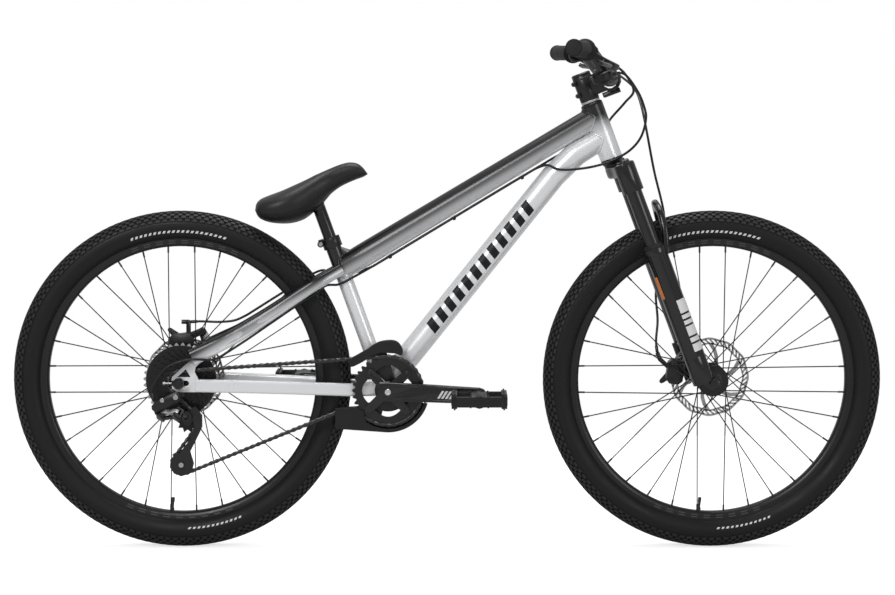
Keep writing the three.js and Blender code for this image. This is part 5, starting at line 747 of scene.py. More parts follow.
def main_tubes():
    """The three main tubes, the head tube and the shell of the cranks' bearings."""
    path = line(TOP_TUBE_START, TOP_TUBE_END, 40)
    run = distances(path)
    wide, tall = (np.interp(run, [0, TOP_TUBE_FULL, run[-1]], sizes)
                  for sizes in (TOP_TUBE_WIDE, TOP_TUBE_TALL))
    frame_tube("top_tube", path, wide, tall)
    path = resampled(np.array([DOWN_TUBE_FOOT, NECK_LOW, NECK_HIGH, NECK_END]), 120)
    narrowing = np.interp(np.linspace(0, 1, 120), [0.9, 1], [DOWN_TUBE_WIDE, NECK_WIDE])
    frame_tube("down_tube", path, narrowing)
    frame_tube("seat_tube", line(seat_tube(0), seat_tube(SEAT_TUBE_TOP)), 2 * SEAT_TUBE_RADIUS)
    frame_tube("head_tube", line(steer(0, 0, HEAD_TUBE_BOTTOM), steer(0, 0, HEAD_TUBE_TOP)),
               2 * HEAD_TUBE_RADIUS, paint=HEAD_PAINT)
    half = [(0.0178, SHELL_HALF), (0.0202, SHELL_HALF), (SHELL_RADIUS, SHELL_HALF - 0.0025)]
    shell = [(radius, -level) for radius, level in half] + half[::-1]
    add("crank_shell", turned(shell, CRANK, loop=True), "chassis", PAINT)


main_tubes()


# Shares of each stay's run back, out and down between its ends
SEAT_STAY_SHARES = [(0, 0.29, 0), (0.15, 0.61, 0.145), (0.24, 0.67, 0.24), (0.5, 0.715, 0.535),
                    (0.7, 0.8, 0.745), (0.84, 0.93, 0.865), (1, 1, 1)]
CHAIN_STAY_SHARES = [(0, 0.35, 0), (0.22, 0.54, 0.08), (0.31, 0.64, 0.25), (0.74, 0.83, 0.75), (1, 1, 1)]
STAY_STEPS = 10
SEAT_STAY_WIDE = 0.0186
SEAT_STAY_TALL = 0.0238
SEAT_STAY_GROWTH = 0.009
SEAT_STAY_SQUARE = 2.6
CHAIN_STAY_WIDE = 0.0154
CHAIN_STAY_TALL = 0.0254
CHAIN_STAY_SQUARE = 4.0


def stay_path(start, end, shares):
    """A stay's middle line by a smooth curve through its shares, and the share of the run at each
    point."""
    back, out, down = np.asarray(shares, float).T
    path = np.stack([
        start[0] + (end[0] - start[0]) * back, end[1] * out, start[2] + (end[2] - start[2]) * down,
    ], -1)
    steps = np.linspace(0, len(back) - 1, (len(back) - 1) * STAY_STEPS + 1)
    return spline(path, STAY_STEPS), np.interp(steps, np.arange(len(back)), back)


def stays():
    """The two pairs of stays, as smooth skins on both sides."""
    for side, way in (("right", -1), ("left", 1)):
        mirrored = np.array([1, way, 1])
        path, share = stay_path(TOP_TUBE_START, REAR_AXLE + SEAT_STAY_END * mirrored, SEAT_STAY_SHARES)
        tall = SEAT_STAY_TALL + SEAT_STAY_GROWTH * share**2
        frame_tube(f"seat_stay_{side}", path, SEAT_STAY_WIDE, tall, SEAT_STAY_SQUARE, STAY_PAINT)
        path, _ = stay_path(CRANK, REAR_AXLE + CHAIN_STAY_END * mirrored, CHAIN_STAY_SHARES)
        frame_tube(f"chain_stay_{side}", path, CHAIN_STAY_WIDE, CHAIN_STAY_TALL, CHAIN_STAY_SQUARE)


stays()


def meeting_line(foot, run, radius, other_foot, other_run, other_radius, count=96):
    """Where a tube meets another: from each point round its section, the distance along its line at
    which the distance to the other's line is the other's radius, by the quadratic's nearer root."""
    run, other_run = unit(np.asarray(run, float)), unit(np.asarray(other_run, float))
    first = unit(np.cross(run, SIDEWAYS))
    second = np.cross(run, first)
    angle = np.arange(count)[:, None] * TURN / count
    start = foot + radius * (np.cos(angle) * first + np.sin(angle) * second)
    away = start - other_foot
    flat_run = run - other_run * np.dot(run, other_run)
    flat_away = away - other_run * (away @ other_run)[:, None]
    a = np.dot(flat_run, flat_run)
    b = flat_away @ flat_run
    c = np.sum(flat_away**2, -1) - other_radius**2
    root = np.maximum(b**2 - a * c, 0)
    along = (-b - np.sqrt(root)) / a
    return start + along[:, None] * run


BEAD_WIDTH = 0.0042
BEAD_STEP = 0.0012
BEAD_RIPPLE = 0.16


def weld_bead(path):
    """A bead round a closed path, whose width swells and shrinks by a sine of four steps."""
    closed = np.concatenate([path, path[:1]])
    run = distances(closed)
    steps = max(int(run[-1] / BEAD_STEP), len(path))
    dense = points_at(closed, run, np.arange(steps) / steps * run[-1])
    ripple = BEAD_WIDTH * (1 + BEAD_RIPPLE * np.sin(np.arange(steps) * TURN / 4))
    return sweep(dense, ripple, sides=8, across=[0.31, 0.83, 0.46], loop=True)


def weld_beads():
    """Beads round the joints of the main tubes."""
    head = (STEER_FOOT, STEER_UP, HEAD_TUBE_RADIUS + 0.0002)
    seat = (SEAT_FOOT, SEAT_UP, SEAT_TUBE_RADIUS - 0.0001)
    shell = (CRANK, SIDEWAYS, SHELL_RADIUS + 0.0002)
    joints = [
        meeting_line(TOP_TUBE_END - TOP_TUBE_RUN * 0.12, TOP_TUBE_RUN, 0.0218, *head),
        meeting_line(NECK_HIGH, unit(NECK_END - NECK_HIGH), 0.0218, *head),
        meeting_line(TOP_TUBE_START + TOP_TUBE_RUN * 0.1, -TOP_TUBE_RUN, 0.0238, *seat),
        meeting_line(DOWN_TUBE_FOOT + DOWN_TUBE_RUN * 0.1, -DOWN_TUBE_RUN, 0.0239, *shell),
        meeting_line(seat_tube(0.08), -SEAT_UP, 0.0152, *shell),
    ]
    beads = joined(*[weld_bead(path) for path in joints])
    add("weld_beads", beads, "chassis", PAINT, edge=NO_EDGE)


weld_beads()


BAR_COUNT = 12
BAR_START = 0.137
BAR_STEP = 0.0272
BAR_LENGTH = 0.0165
BAR_SLANT = 0.006
BAR_HALF_DEPTH = 0.0005


def tube_patch(start, middle):
    """A thin slanted patch on the down tube from a distance along it, round an angle from its right
    side: its outer face follows the tube."""
    over = unit(np.cross(-SIDEWAYS, DOWN_TUBE_RUN))
    angle = np.linspace(middle - 0.5, middle + 0.62, 9)[:, None]
    slant = np.linspace(-BAR_SLANT / 2, BAR_SLANT / 2, 9)[:, None]
    direction = -np.cos(angle) * SIDEWAYS + np.sin(angle) * over
    radius = (DOWN_TUBE_WIDE + TUBE_GROWTH) / 2
    rings = []
    for distance in (start, start + BAR_LENGTH):
        base = DOWN_TUBE_FOOT + DOWN_TUBE_RUN * (distance + slant)
        outside = base + direction * (radius + BAR_HALF_DEPTH)
        inside = base + direction * (radius - BAR_HALF_DEPTH)
        rings.append(np.concatenate([outside, inside[::-1]]))
    return skin(np.stack(rings))


def down_tube_bars():
    """Plain slanted dark bars along both sides of the down tube."""
    starts = BAR_START + np.arange(BAR_COUNT) * BAR_STEP
    return joined(*[tube_patch(start, middle) for start in starts for middle in (0, math.pi)])


add("down_tube_bars", down_tube_bars(), "chassis", DARK_MARKING)


# Fork

LEG_AHEAD = 0.015
LEG_SPREAD = 0.065
LEG_RADIUS = 0.0216
CROWN_LEVEL = 0.459
CROWN_WIDE = 0.0403
CROWN_TALL = 0.0263
CROWN_SQUARE = 4.5


def steering_turned(profile, ahead, left, sides=64):
    """A revolution about a line along the steering axis, its profile in millimetres from the foot."""
    return turned(np.asarray(profile) * MILLI, steer(ahead, left, 0), STEER_UP, sides)


def stanchions_and_crown():
    """The fork's upper part: the two tubes with their shoulders and caps, the bridge and the steerer."""
    parts = []
    for side in (-1, 1):
        tube = [(15.6, 150), (16.05, 152), (16.05, 411), (16.05, 413)]
        parts.append(steering_turned(tube, LEG_AHEAD, side * LEG_SPREAD))
        shoulder = [(16.1, 411.5), (20.4, 411.5), (21.1, 413), (21.1, 466), (20, 470), (17, 471.4),
                    (13, 471.6), (12.6, 474), (11.4, 475), (6, 475.2), (5.4, 473.6), (1, 473.4)]
        parts.append(steering_turned(shoulder, LEG_AHEAD, side * LEG_SPREAD))
    bridge = ((-1, 1), (-0.5, 0.6), (0, 0), (0.5, 0.6), (1, 1))
    path = spline([steer(LEG_AHEAD * ahead, LEG_SPREAD * out, CROWN_LEVEL) for out, ahead in bridge], 8)
    parts.append(sweep(path, CROWN_WIDE, CROWN_TALL, 32, CROWN_SQUARE, across=STEER_AHEAD))
    parts.append(steering_turned([(19, 459), (19.05, 473.6), (17, 474)], 0, 0))
    parts.append(steering_turned([(14.35, 459), (14.35, 659)], 0, 0, 48))
    return joined(*parts)


# The arch's middle line on the left: shares of its way out, ahead and up
HALF_ARCH = [(0.31, 1, 0.985), (0.69, 1, 0.84), (0.89, 0.96, 0.5), (0.98, 0.82, 0.1), (1, 0.6, -0.25)]
ARCH = [(-out, ahead, up) for out, ahead, up in HALF_ARCH[::-1]] + HALF_ARCH
ARCH_AHEAD = 0.051
ARCH_FOOT = 0.293
ARCH_RISE = 0.074
ARCH_WIDE = 0.0136
ARCH_TALL = 0.0206
ARCH_SQUARE = 2.8
PATCH_LIFT = 0.0005
PATCH_SINK = 0.0004


def lower_legs():
    """The fork's lower part: both legs with their stepped feet, and the arch that joins them in front."""
    parts = []
    for side in (-1, 1):
        leg = [(6, 7.6), (12, 8), (20.4, 9), (21.6, 11), (21.6, 60), (21.2, 62), (21.2, 64), (21.6, 66),
               (21.6, 276), (22.2, 279), (22.6, 283), (22.6, 290), (21.9, 293), (17.2, 293.4), (16.4, 293)]
        parts.append(steering_turned(leg, LEG_AHEAD, side * LEG_SPREAD))
    path = spline([steer(ARCH_AHEAD * ahead, LEG_SPREAD * out, ARCH_FOOT + ARCH_RISE * up)
                   for out, ahead, up in ARCH], 6)
    parts.append(sweep(path, ARCH_WIDE, ARCH_TALL, 32, ARCH_SQUARE, across=STEER_AHEAD))
    return joined(*parts)


def leg_patch(side, low, high, first, last):
    """A thin patch on a lower leg between two heights and two angles round it in degrees, from straight
    ahead towards the outside."""
    angle = np.radians(np.linspace(first, last, 9))[:, None]
    direction = np.cos(angle) * STEER_AHEAD + np.sin(angle) * side * SIDEWAYS
    ends = []
    for height in (low, high):
        foot = steer(LEG_AHEAD, side * LEG_SPREAD, height)
        outside = foot + direction * (LEG_RADIUS + PATCH_LIFT)
        inside = foot + direction * (LEG_RADIUS - PATCH_SINK)
        ends.append(np.concatenate([outside, inside[::-1]]))
    return skin(np.stack(ends))


def fork():
    """The fork's smooth pieces, its seals and its plain marks."""
    add("fork_uppers", stanchions_and_crown(), "steered", GLOSS_BLACK)
    add("fork_lower_legs", lower_legs(), "fork_slider", GLOSS_BLACK)
    lip = [(16.2, 292.6), (20.6, 292.8), (20.2, 296.5), (18.6, 298), (17.6, 300.5), (16.2, 300.8)]
    seals = [steering_turned(lip, LEG_AHEAD, side * LEG_SPREAD) for side in (-1, 1)]
    add("fork_seals", joined(*seals), "fork_slider", RUBBER)
    blocks = [(0.074, 0.09), (0.094, 0.103), (0.107, 0.127), (0.131, 0.139), (0.143, 0.151), (0.155, 0.182)]
    pale = [leg_patch(side, low, high, 4, 82) for side in (-1, 1) for low, high in blocks]
    add("fork_leg_blocks", joined(*pale), "fork_slider", MARKING)
    warm = [leg_patch(side, 0.192, 0.238, 136, 156) for side in (-1, 1)]
    add("fork_leg_stripe", joined(*warm), "fork_slider", ORANGE)


fork()


# Handlebar and grips

# Points on the bar: ahead of the steering axis, to the left of it and up along it
BAR_CENTRE = np.array([0.05, 0.0, 0.6355])
BAR_BEND = BAR_CENTRE + [-0.022, 0.15, 0.0635]
BAR_END = BAR_CENTRE + [-0.062, 0.35, 0.082]
GRIP_RUN = unit(BAR_END - BAR_BEND)
GRIP_WIDE = 0.0222
CLAMP_WIDE = 0.0318


def bar_point(side, inward):
    """The point on the grip's line at a distance in from the bar's end, on the left (1) or right (-1)."""
    point = BAR_END - GRIP_RUN * inward
    return steer(point[0], side * point[1], point[2])


def handlebar():
    """The bar through its bends: thick at the clamp, drawn down to the grips."""
    bends = [(0, 0, 0, 1), (0, 0.27, 0, 1), (0.14, 0.41, 0.08, 0.7), (0.88, 0.92, 0.874, 0.02)]
    half, thick = [], []
    for ahead, out, rise, share in bends:
        half.append(BAR_CENTRE + (BAR_BEND - BAR_CENTRE) * [ahead, out, rise])
        thick.append(GRIP_WIDE + (CLAMP_WIDE - GRIP_WIDE) * share)
    half += [BAR_BEND, (BAR_BEND + BAR_END) / 2, BAR_END]
    thick += [GRIP_WIDE] * 3
    points = [point * [1, -1, 1] for point in half[:0:-1]] + half
    sizes = thick[:0:-1] + thick
    path = spline([steer(*point) for point in points], 10)
    steps = np.linspace(0, len(sizes) - 1, len(path))
    return sweep(path, np.interp(steps, np.arange(len(sizes)), sizes), sides=40, across=STEER_AHEAD)


GRIP_RIBS = 9
GRIP_START = 0.126


def grip_profile():
    """Radius and distance from the grip's flange in millimetres: a flange, nine ribs by the root of a
    sine, an end ring and a disc."""
    flange = [(11.4, 0), (20.6, 0), (21.2, 1.2), (21.2, 3.2), (19.6, 4.4), (15.6, 6)]
    share = np.linspace(0, 1, 181)
    radius = 14.8 + 0.8 * np.abs(np.sin(share * GRIP_RIBS * math.pi)) ** 0.5
    close = [(15.8, 124), (16.3, 125.5), (16.5, 128.5), (16, 130.2), (14.6, 130.8), (14.2, 130.2),
             (12, 130.4), (1, 131.2)]
    return np.array([*flange, *zip(radius, 8 + 114 * share), *close])


def grips():
    """Both grips, along the bar's ends."""
    for name, side in (("left", 1), ("right", -1)):
        start = bar_point(side, GRIP_START)
        shape = turned(grip_profile() * MILLI, start, bar_point(side, 0) - start)
        add(f"ribbed_grip_{name}", shape, "steered", RUBBER, [f"grip_{name}"], edge=math.pi / 3)


add("smooth_handlebar", handlebar(), "steered", SATIN_BLACK, ["handlebar"])
grips()


# Saddle

# Along the saddle from its rear: X, then Z of its top and its underside, then its half width
SADDLE = np.array([
    (-380.5, 684, 676, 20), (-378, 692, 668, 40), (-371, 699, 660, 54), (-355, 706, 653.5, 64),
    (-332, 714.5, 650.5, 69), (-308, 725, 651.5, 66), (-284, 736, 659, 56), (-262, 747, 676, 43),
    (-244, 755, 694, 33), (-230, 761, 710, 27), (-212, 768, 723.5, 24), (-194, 772, 732.5, 23),
    (-178, 769.5, 739, 22), (-168, 762, 742.5, 19), (-161.5, 754, 746, 13), (-159, 750.5, 748, 6),
]) * MILLI


SADDLE_SIDES = 72
UNDERSIDE_TUCK = 0.25
SIDE_POWER = 0.7
LIFT_POWER = 0.75
END_ROUND = 0.0012
SEAM_RADIUS = 0.0009


def saddle_rings():
    """Rings along the saddle through its table by a smooth curve, and round each ring a flattened
    oval whose underside is drawn in."""
    top = spline(SADDLE[:, [0, 1, 3]], 6)
    bottom = spline(SADDLE[:, [0, 2, 3]], 6)
    angle = (np.arange(SADDLE_SIDES) + 0.5) * TURN / SADDLE_SIDES
    lift = np.sin(angle)
    side = np.sign(np.cos(angle)) * np.abs(np.cos(angle)) ** SIDE_POWER
    tuck = np.where(lift > 0, 1, 1 - UNDERSIDE_TUCK * np.abs(lift))
    middle = (bottom[:, 1] + top[:, 1]) / 2
    reach = np.where(lift > 0, (top[:, 1] - middle)[:, None], (middle - bottom[:, 1])[:, None])
    height = middle[:, None] + reach * np.sign(lift) * np.abs(lift) ** LIFT_POWER
    across = side * tuck * top[:, 2:3]
    along = np.broadcast_to((top[:, 0:1] + bottom[:, 0:1]) / 2, across.shape)
    return np.stack([along, across, height], -1)


def rounded_ends(rings):
    """The rings with three smaller ones after each end, which round it off to a small patch."""
    caps = []
    for ring, way in ((rings[0], -1), (rings[-1], 1)):
        middle = ring.mean(0)
        caps.append([middle + (ring - middle) * share + way * END_ROUND * (1 - share) * FORWARD
                     for share in (0.75, 0.45, 0.15)])
    return np.concatenate([caps[0][::-1], rings, caps[1]])


def bolt_face(place, radius):
    """A round bolt head towards the right side, with a recess in its middle: shares of its radius, and
    distances out."""
    shares = [(0.9, -0.002), (1, -0.001), (1, 0.0008), (0.88, 0.0014), (0.55, 0.0014), (0.5, 0.0006),
              (0.05, 0.0006)]
    return turned([(share * radius, level) for share, level in shares], place, -SIDEWAYS, 32)


def seam(rings, place):
    """A thin cord round the saddle, through each ring's point at a place in its round, on both sides."""
    left = rings[:, place]
    right = rings[:, SADDLE_SIDES // 2 - 1 - place]
    path = resampled(np.concatenate([left, right[::-1], left[:1]]), 300)[:-1]
    return sweep(path, SEAM_RADIUS * 2, sides=8, across=[0.05, 0.1, 0.99], loop=True)


CLAMP_LUG = np.array([-0.2515, 0.0, 0.6095])
POST_RADIUS = 0.01275


def seat():
    """The padded seat with its seam, the seat clamp's barrel and bolt, and the round post."""
    rings = saddle_rings()
    cushion = add("seat_cushion", skin(rounded_ends(rings)), "seat", COVER, ["saddle"], NO_EDGE)
    add("seat_seam", seam(rings, SADDLE_SIDES - 3), "seat", RUBBER, edge=NO_EDGE)
    half = 0.0193 * SIDEWAYS
    barrel = rod(CLAMP_LUG - half, CLAMP_LUG + half, 0.0064, 32, 0.0008)
    add("clamp_barrel", barrel, "chassis", GLOSS_BLACK)
    add("clamp_bolt", bolt_face(CLAMP_LUG - 0.019 * SIDEWAYS, 0.0044), "chassis", STEEL)
    post = turned([(0.0125, 0.16), (POST_RADIUS, 0.161), (POST_RADIUS, 0.394), (0.0125, 0.395)],
                  SEAT_FOOT, SEAT_UP, 48)
    add("round_seatpost", post, "seat_post", GLOSS_BLACK)


seat()


# Sprockets, chain and cranks

PITCH = 0.0127
COGS = (11, 13, 15, 17, 20, 23, 26, 30, 36)
RING_TEETH = 34
RING_BOLTS = 4
PULLEY_TEETH = 10
# How far to the right the smallest cog, the step to the next cog and the chainring lie
COG_LINE = 0.0618
COG_STEP = 0.00435
RING_LINE = 0.05
COG_HALF = 0.0009
COG_WEB = 0.0135
# How far each cog is turned on from the one before it
COG_TURN = 0.07
RING_LOBES = 0.048
RING_LOBE_DEPTH = 0.0035
RING_BOLT_RADIUS = 0.052
RING_BOLT_LINE = 0.0565
FREEWHEEL_RADIUS = 0.0172
TOOTH_STEPS = 8
TENSION_PULLEY = np.array([-0.5264, 0.1755])
GUIDE_PULLEY = np.array([-0.514, 0.261])
GUIDE_SLIDER = CRANK[[0, 2]] + [-0.085, -0.057]
SLIDER_RADIUS = 0.0195


def pitch_radius(teeth):
    """Half the pitch divided by the sine of half a tooth's angle."""
    return PITCH / (2 * math.sin(math.pi / teeth))


def toothed(teeth, first_valley, tip=0.0029, root=0.0036):
    """A toothed outline: the pitch radius, down in the valley and up at the tip by a flattened cosine."""
    phase = np.arange(teeth * TOOTH_STEPS) * TURN / (teeth * TOOTH_STEPS)
    wave = -np.cos(phase * teeth)
    shape = np.sign(wave) * np.abs(wave) ** 0.6
    radius = pitch_radius(teeth) + np.where(shape > 0, tip * shape, root * shape)
    return polar(radius, first_valley + phase)


def cog(index, first_valley):
    """One cog as a toothed ring at its line, its inside waved by a cosine where it is large."""
    teeth = COGS[index]
    level = COG_STEP * index - COG_LINE
    outer = toothed(teeth, first_valley)
    angle = np.arctan2(outer[:, 1], outer[:, 0])
    inner_radius = max(FREEWHEEL_RADIUS, pitch_radius(teeth) - COG_WEB)
    inside = inner_radius + 0.003 * np.cos(6 * angle) * (inner_radius > 0.02)
    return band(outer, polar(inside, angle), level - COG_HALF, level + COG_HALF)


# The circles that the chain goes round in turn: centre in X and Z, radius and way of turning
CHAIN_ROUNDS = [
    (REAR_AXLE[[0, 2]], pitch_radius(COGS[0]), 1), (CRANK[[0, 2]], pitch_radius(RING_TEETH), 1),
    (GUIDE_SLIDER, SLIDER_RADIUS, -1), (TENSION_PULLEY, pitch_radius(PULLEY_TEETH), 1),
    (GUIDE_PULLEY, pitch_radius(PULLEY_TEETH), -1),
]


def tangent(start, end):
    """Angle and length of the straight run between two rounds: the line between their centres, leaned
    by the sum or difference of their radii."""
    (from_centre, from_radius, from_way), (to_centre, to_radius, to_way) = start, end
    run_x, run_z = to_centre[0] - from_centre[0], to_centre[1] - from_centre[1]
    lean = from_way * from_radius - to_way * to_radius
    length = math.sqrt(run_x**2 + run_z**2 - lean**2)
    return math.atan2(run_z, run_x) - math.atan2(lean, length), length


def chain_path():
    """Dense points of the chain's closed path in X and Z: arcs round the circles and straight runs
    between them."""
    points = []
    for index, (centre, radius, way) in enumerate(CHAIN_ROUNDS):
        arriving = tangent(CHAIN_ROUNDS[index - 1], CHAIN_ROUNDS[index])[0]
        leaving, length = tangent(CHAIN_ROUNDS[index], CHAIN_ROUNDS[(index + 1) % len(CHAIN_ROUNDS)])
        swept = (way * (arriving - leaving)) % TURN
        arc = arriving - way * np.linspace(0, swept, 200)
        points.append(centre + way * radius * np.stack([-np.sin(arc), np.cos(arc)], -1))
        straight = np.linspace(0, length, 50)[1:, None] * [math.cos(leaving), math.sin(leaving)]
        points.append(points[-1][-1] + straight)
    return np.concatenate(points)


def chain_pins():
    """The chain's pins at equal steps along its path, moved across from the cog's line to the
    chainring's between the two."""
    path = chain_path()
    run = distances(path)
    count = 2 * round(run[-1] / PITCH / 2)
    pins = points_at(path, run, np.arange(count) * run[-1] / count)
    start = REAR_AXLE[0] + pitch_radius(COGS[0]) + PITCH
    end = CRANK[0] - pitch_radius(RING_TEETH) - PITCH
    share = np.clip((pins[:, 0] - start) / (end - start), 0, 1)
    return upright(pins, (COG_LINE - RING_LINE) * share - COG_LINE)


LINK_THICKNESS = 0.0009
LINK_RADIUS = 0.0041
LINK_WAIST = 0.0027
# Half the gaps between the plates of the inner and the outer links
LINK_GAPS = (0.0018, 0.0029)


def link_outline():
    """A figure of eight along +X, one pitch long: round ends joined by a waist."""
    turn_angle = np.radians([90, 125, 160, 200, 235, 270])
    near = polar(LINK_RADIUS, turn_angle)
    far = polar(LINK_RADIUS, turn_angle - math.pi) + [PITCH, 0]
    middle = np.array([[PITCH / 2, -LINK_WAIST]])
    return np.concatenate([near, middle, far, -middle + [PITCH, 0]])


def chain():
    """Inner and outer links in turn, each two plates, with a roller and a pin at every joint."""
    pins = chain_pins()
    run = np.roll(pins, -1, 0) - pins
    ahead = unit(run)
    side = unit(SIDEWAYS - ahead * (ahead @ SIDEWAYS)[:, None])
    over = np.cross(ahead, side)
    turns = np.stack([ahead, side, over], -1)
    parts = []
    outline = link_outline()
    for kind, near in enumerate(LINK_GAPS):
        lows = (-near - LINK_THICKNESS, near)
        link = joined(*[plate(outline, low, low + LINK_THICKNESS, 0.0001) for low in lows])
        parts.append(copies(link, turns[kind::2], pins[kind::2]))
    roller = joined(turned([(0.0038, -0.0017), (0.0038, 0.0017)], np.zeros(3), SIDEWAYS, 8),
                    turned([(0.0018, -0.0041), (0.0018, 0.0041)], np.zeros(3), SIDEWAYS, 6))
    parts.append(copies(roller, turns, pins))
    return joined(*parts)


def valley_angle(centre):
    """The angle about a sprocket's centre of the pin that lies nearest it on the chain's round."""
    pins = (chain_pins() - centre)[:, [0, 2]]
    pin = pins[np.argmin(np.linalg.norm(pins, axis=1))]
    return math.atan2(pin[1], pin[0])


def drivetrain():
    """Cogs, chain and chainring. The smallest cog and the chainring have a valley at a pin of the chain."""
    cogs = [cog(index, COG_TURN * index if index else valley_angle(REAR_AXLE))
            for index in range(len(COGS))]
    freewheel = [(0.0104, -0.0625), (0.0168, -0.0625), (FREEWHEEL_RADIUS, -0.062),
                 (FREEWHEEL_RADIUS, -0.0238), (0.0104, -0.0238)]
    around = np.arange(96) * TURN / 96
    web = band(polar(0.0705, around), polar(0.05, around), -0.0281, -0.0261)
    black = joined(*cogs[:-1], turned(freewheel, np.zeros(3), loop=True), web)
    add("small_cogs", moved(black, REAR_AXLE), "freewheel_cogs", COG_BLACK, ["cassette"])
    add("large_cog", moved(cogs[-1], REAR_AXLE), "freewheel_cogs", STEEL)
    add("chain_links", chain(), "chassis", DARK_STEEL, ["chain"], edge=math.radians(50))
    outer = toothed(RING_TEETH, valley_angle(CRANK))
    angle = np.arctan2(outer[:, 1], outer[:, 0])
    lobes = RING_LOBES - RING_LOBE_DEPTH * np.cos(RING_BOLTS * (angle - math.pi / 4))
    ring = band(outer, polar(lobes, angle), -RING_LINE - COG_HALF, -RING_LINE + COG_HALF)
    add("toothed_chainring", moved(ring, CRANK), "crankset", SATIN_BLACK, ["chainring"])
    bolts = [bolt_face(CRANK + place, 0.004)
             for place in ring_places(RING_BOLTS, RING_BOLT_RADIUS, -RING_BOLT_LINE)]
    add("chainring_bolts", joined(*bolts), "crankset", DARK_STEEL)


drivetrain()

CRANK_TILT = math.radians(-2)
CRANK_RUN = np.array([math.cos(CRANK_TILT), 0.0, math.sin(CRANK_TILT)])
CRANK_OVER = np.array([-math.sin(CRANK_TILT), 0.0, math.cos(CRANK_TILT)])


def crank_point(side, along, out, over):
    """The point along a crank arm, out to its side and over it. The right side is 1 and runs forward."""
    return CRANK + side * along * CRANK_RUN - side * out * SIDEWAYS + over * CRANK_OVER


# Along a crank arm: the distance from its spindle, how far out its middle lies, and its height
CRANK_STATIONS = np.array([
    (-17, 66.5, 36), (0, 66.5, 38), (81, 66.8, 35.2), (150, 76.5, 32.5), (180, 79, 32.2), (190, 79, 26.2),
    (195.5, 79, 12),
]) * MILLI
CRANK_THICKNESS = 0.0142
CRANK_SQUARE = 4.5
RAIL_INSET = 0.0035
RAIL_OUT = 0.0068
RAIL_WIDE = 0.0022
RAIL_TALL = 0.0042


def crank_arm(side):
    """The arm with a raised rail along each of its long edges, and a rounded end."""
    path = spline([crank_point(side, along, out, 0) for along, out, _ in CRANK_STATIONS], 8)
    steps = np.linspace(0, len(CRANK_STATIONS) - 1, len(path))
    tall = np.interp(steps, np.arange(len(CRANK_STATIONS)), CRANK_STATIONS[:, 2])
    parts = [sweep(path, CRANK_THICKNESS, tall + TUBE_GROWTH, 32, CRANK_SQUARE)]
    for edge in (-1, 1):
        rail = [crank_point(side, along, out + RAIL_OUT, edge * (height / 2 - RAIL_INSET))
                for along, out, height in CRANK_STATIONS[1:5]]
        parts.append(sweep(spline(rail, 8), RAIL_WIDE, RAIL_TALL, 12, 2.5))
    return joined(*parts)


def slanted_bars(side):
    """Four plain slanted bars on the outer face of a crank arm: each sheared by its height."""
    bars = []
    for start in (0.098, 0.1055, 0.113, 0.1205):
        corners = [(start, -0.0085), (start + 0.0045, -0.0085), (start + 0.0135, 0.007),
                   (start + 0.009, 0.007)]
        rings = []
        for level in (-0.002, 0.0004):
            faces = [np.interp(along, [0.081, 0.15], [0.0739, 0.0836]) + level for along, _ in corners]
            rings.append([crank_point(side, along, out, over) for (along, over), out in zip(corners, faces)])
        bars.append(skin(np.array(rings)))
    return joined(*bars)


def cranks():
    """Both crank arms with their bolts and bars."""
    ring = [(0.0062, 0.0728), (0.0062, 0.0742), (0.0054, 0.075), (0.0036, 0.075), (0.0032, 0.0738),
            (0.001, 0.0738)]
    for name, side in (("right", 1), ("left", -1)):
        add(f"ridged_crank_{name}", crank_arm(side), "crankset", GLOSS_BLACK)
        bolt = turned(ring, CRANK, -side * SIDEWAYS, 48)
        add(f"crank_bolt_{name}", bolt, "crankset", BRIGHT)
        add(f"crank_bars_{name}", slanted_bars(side), "crankset", MARKING)


cranks()


# Pedals

PEDAL_ALONG = 0.18
PEDAL_OUT = 0.1353
PIN_RADIUS = 0.0018
# Rows of pins on the platform: how far ahead each stands, and half a pin's length
PIN_ROWS = ((-0.048, 0.0165), (-0.017, 0.0125), (0.017, 0.0125), (0.048, 0.0165))
PIN_SPREAD = 0.038
REFLECTOR_AHEAD = (0.0532, 0.0548)
REFLECTOR_HALF = (0.03, 0.0085)


def pedal(name, side):
    """Pins on the platform and red reflectors on its front and rear faces."""
    middle = crank_point(side, PEDAL_ALONG, PEDAL_OUT, 0)
    pins = []
    for ahead, tall in PIN_ROWS:
        for out in (-PIN_SPREAD, 0, PIN_SPREAD):
            at = middle + ahead * FORWARD + out * SIDEWAYS
            pins.append(rod(at - tall * UPWARD, at + tall * UPWARD, PIN_RADIUS, 8))
    add(f"pedal_pins_{name}", joined(*pins), f"{name}_pedal", DARK_STEEL)
    wide, tall = REFLECTOR_HALF
    glass = []
    for way in (-1, 1):
        near, far = sorted(way * ahead for ahead in REFLECTOR_AHEAD)
        outline = [(near, -tall), (far, -tall), (far, tall), (near, tall)]
        glass.append(moved(plate(outline, -wide, wide), middle))
    add(f"pedal_reflectors_{name}", joined(*glass), f"{name}_pedal", REFLECTOR)


pedal("right", 1)
pedal("left", -1)


# Cables: smooth tubes along the routes

ROUTE_STEPS = 10
HOUSING_WIDE = 0.0049
HOUSING_ACROSS = unit(np.array([0.23, 0.11, 0.97]))
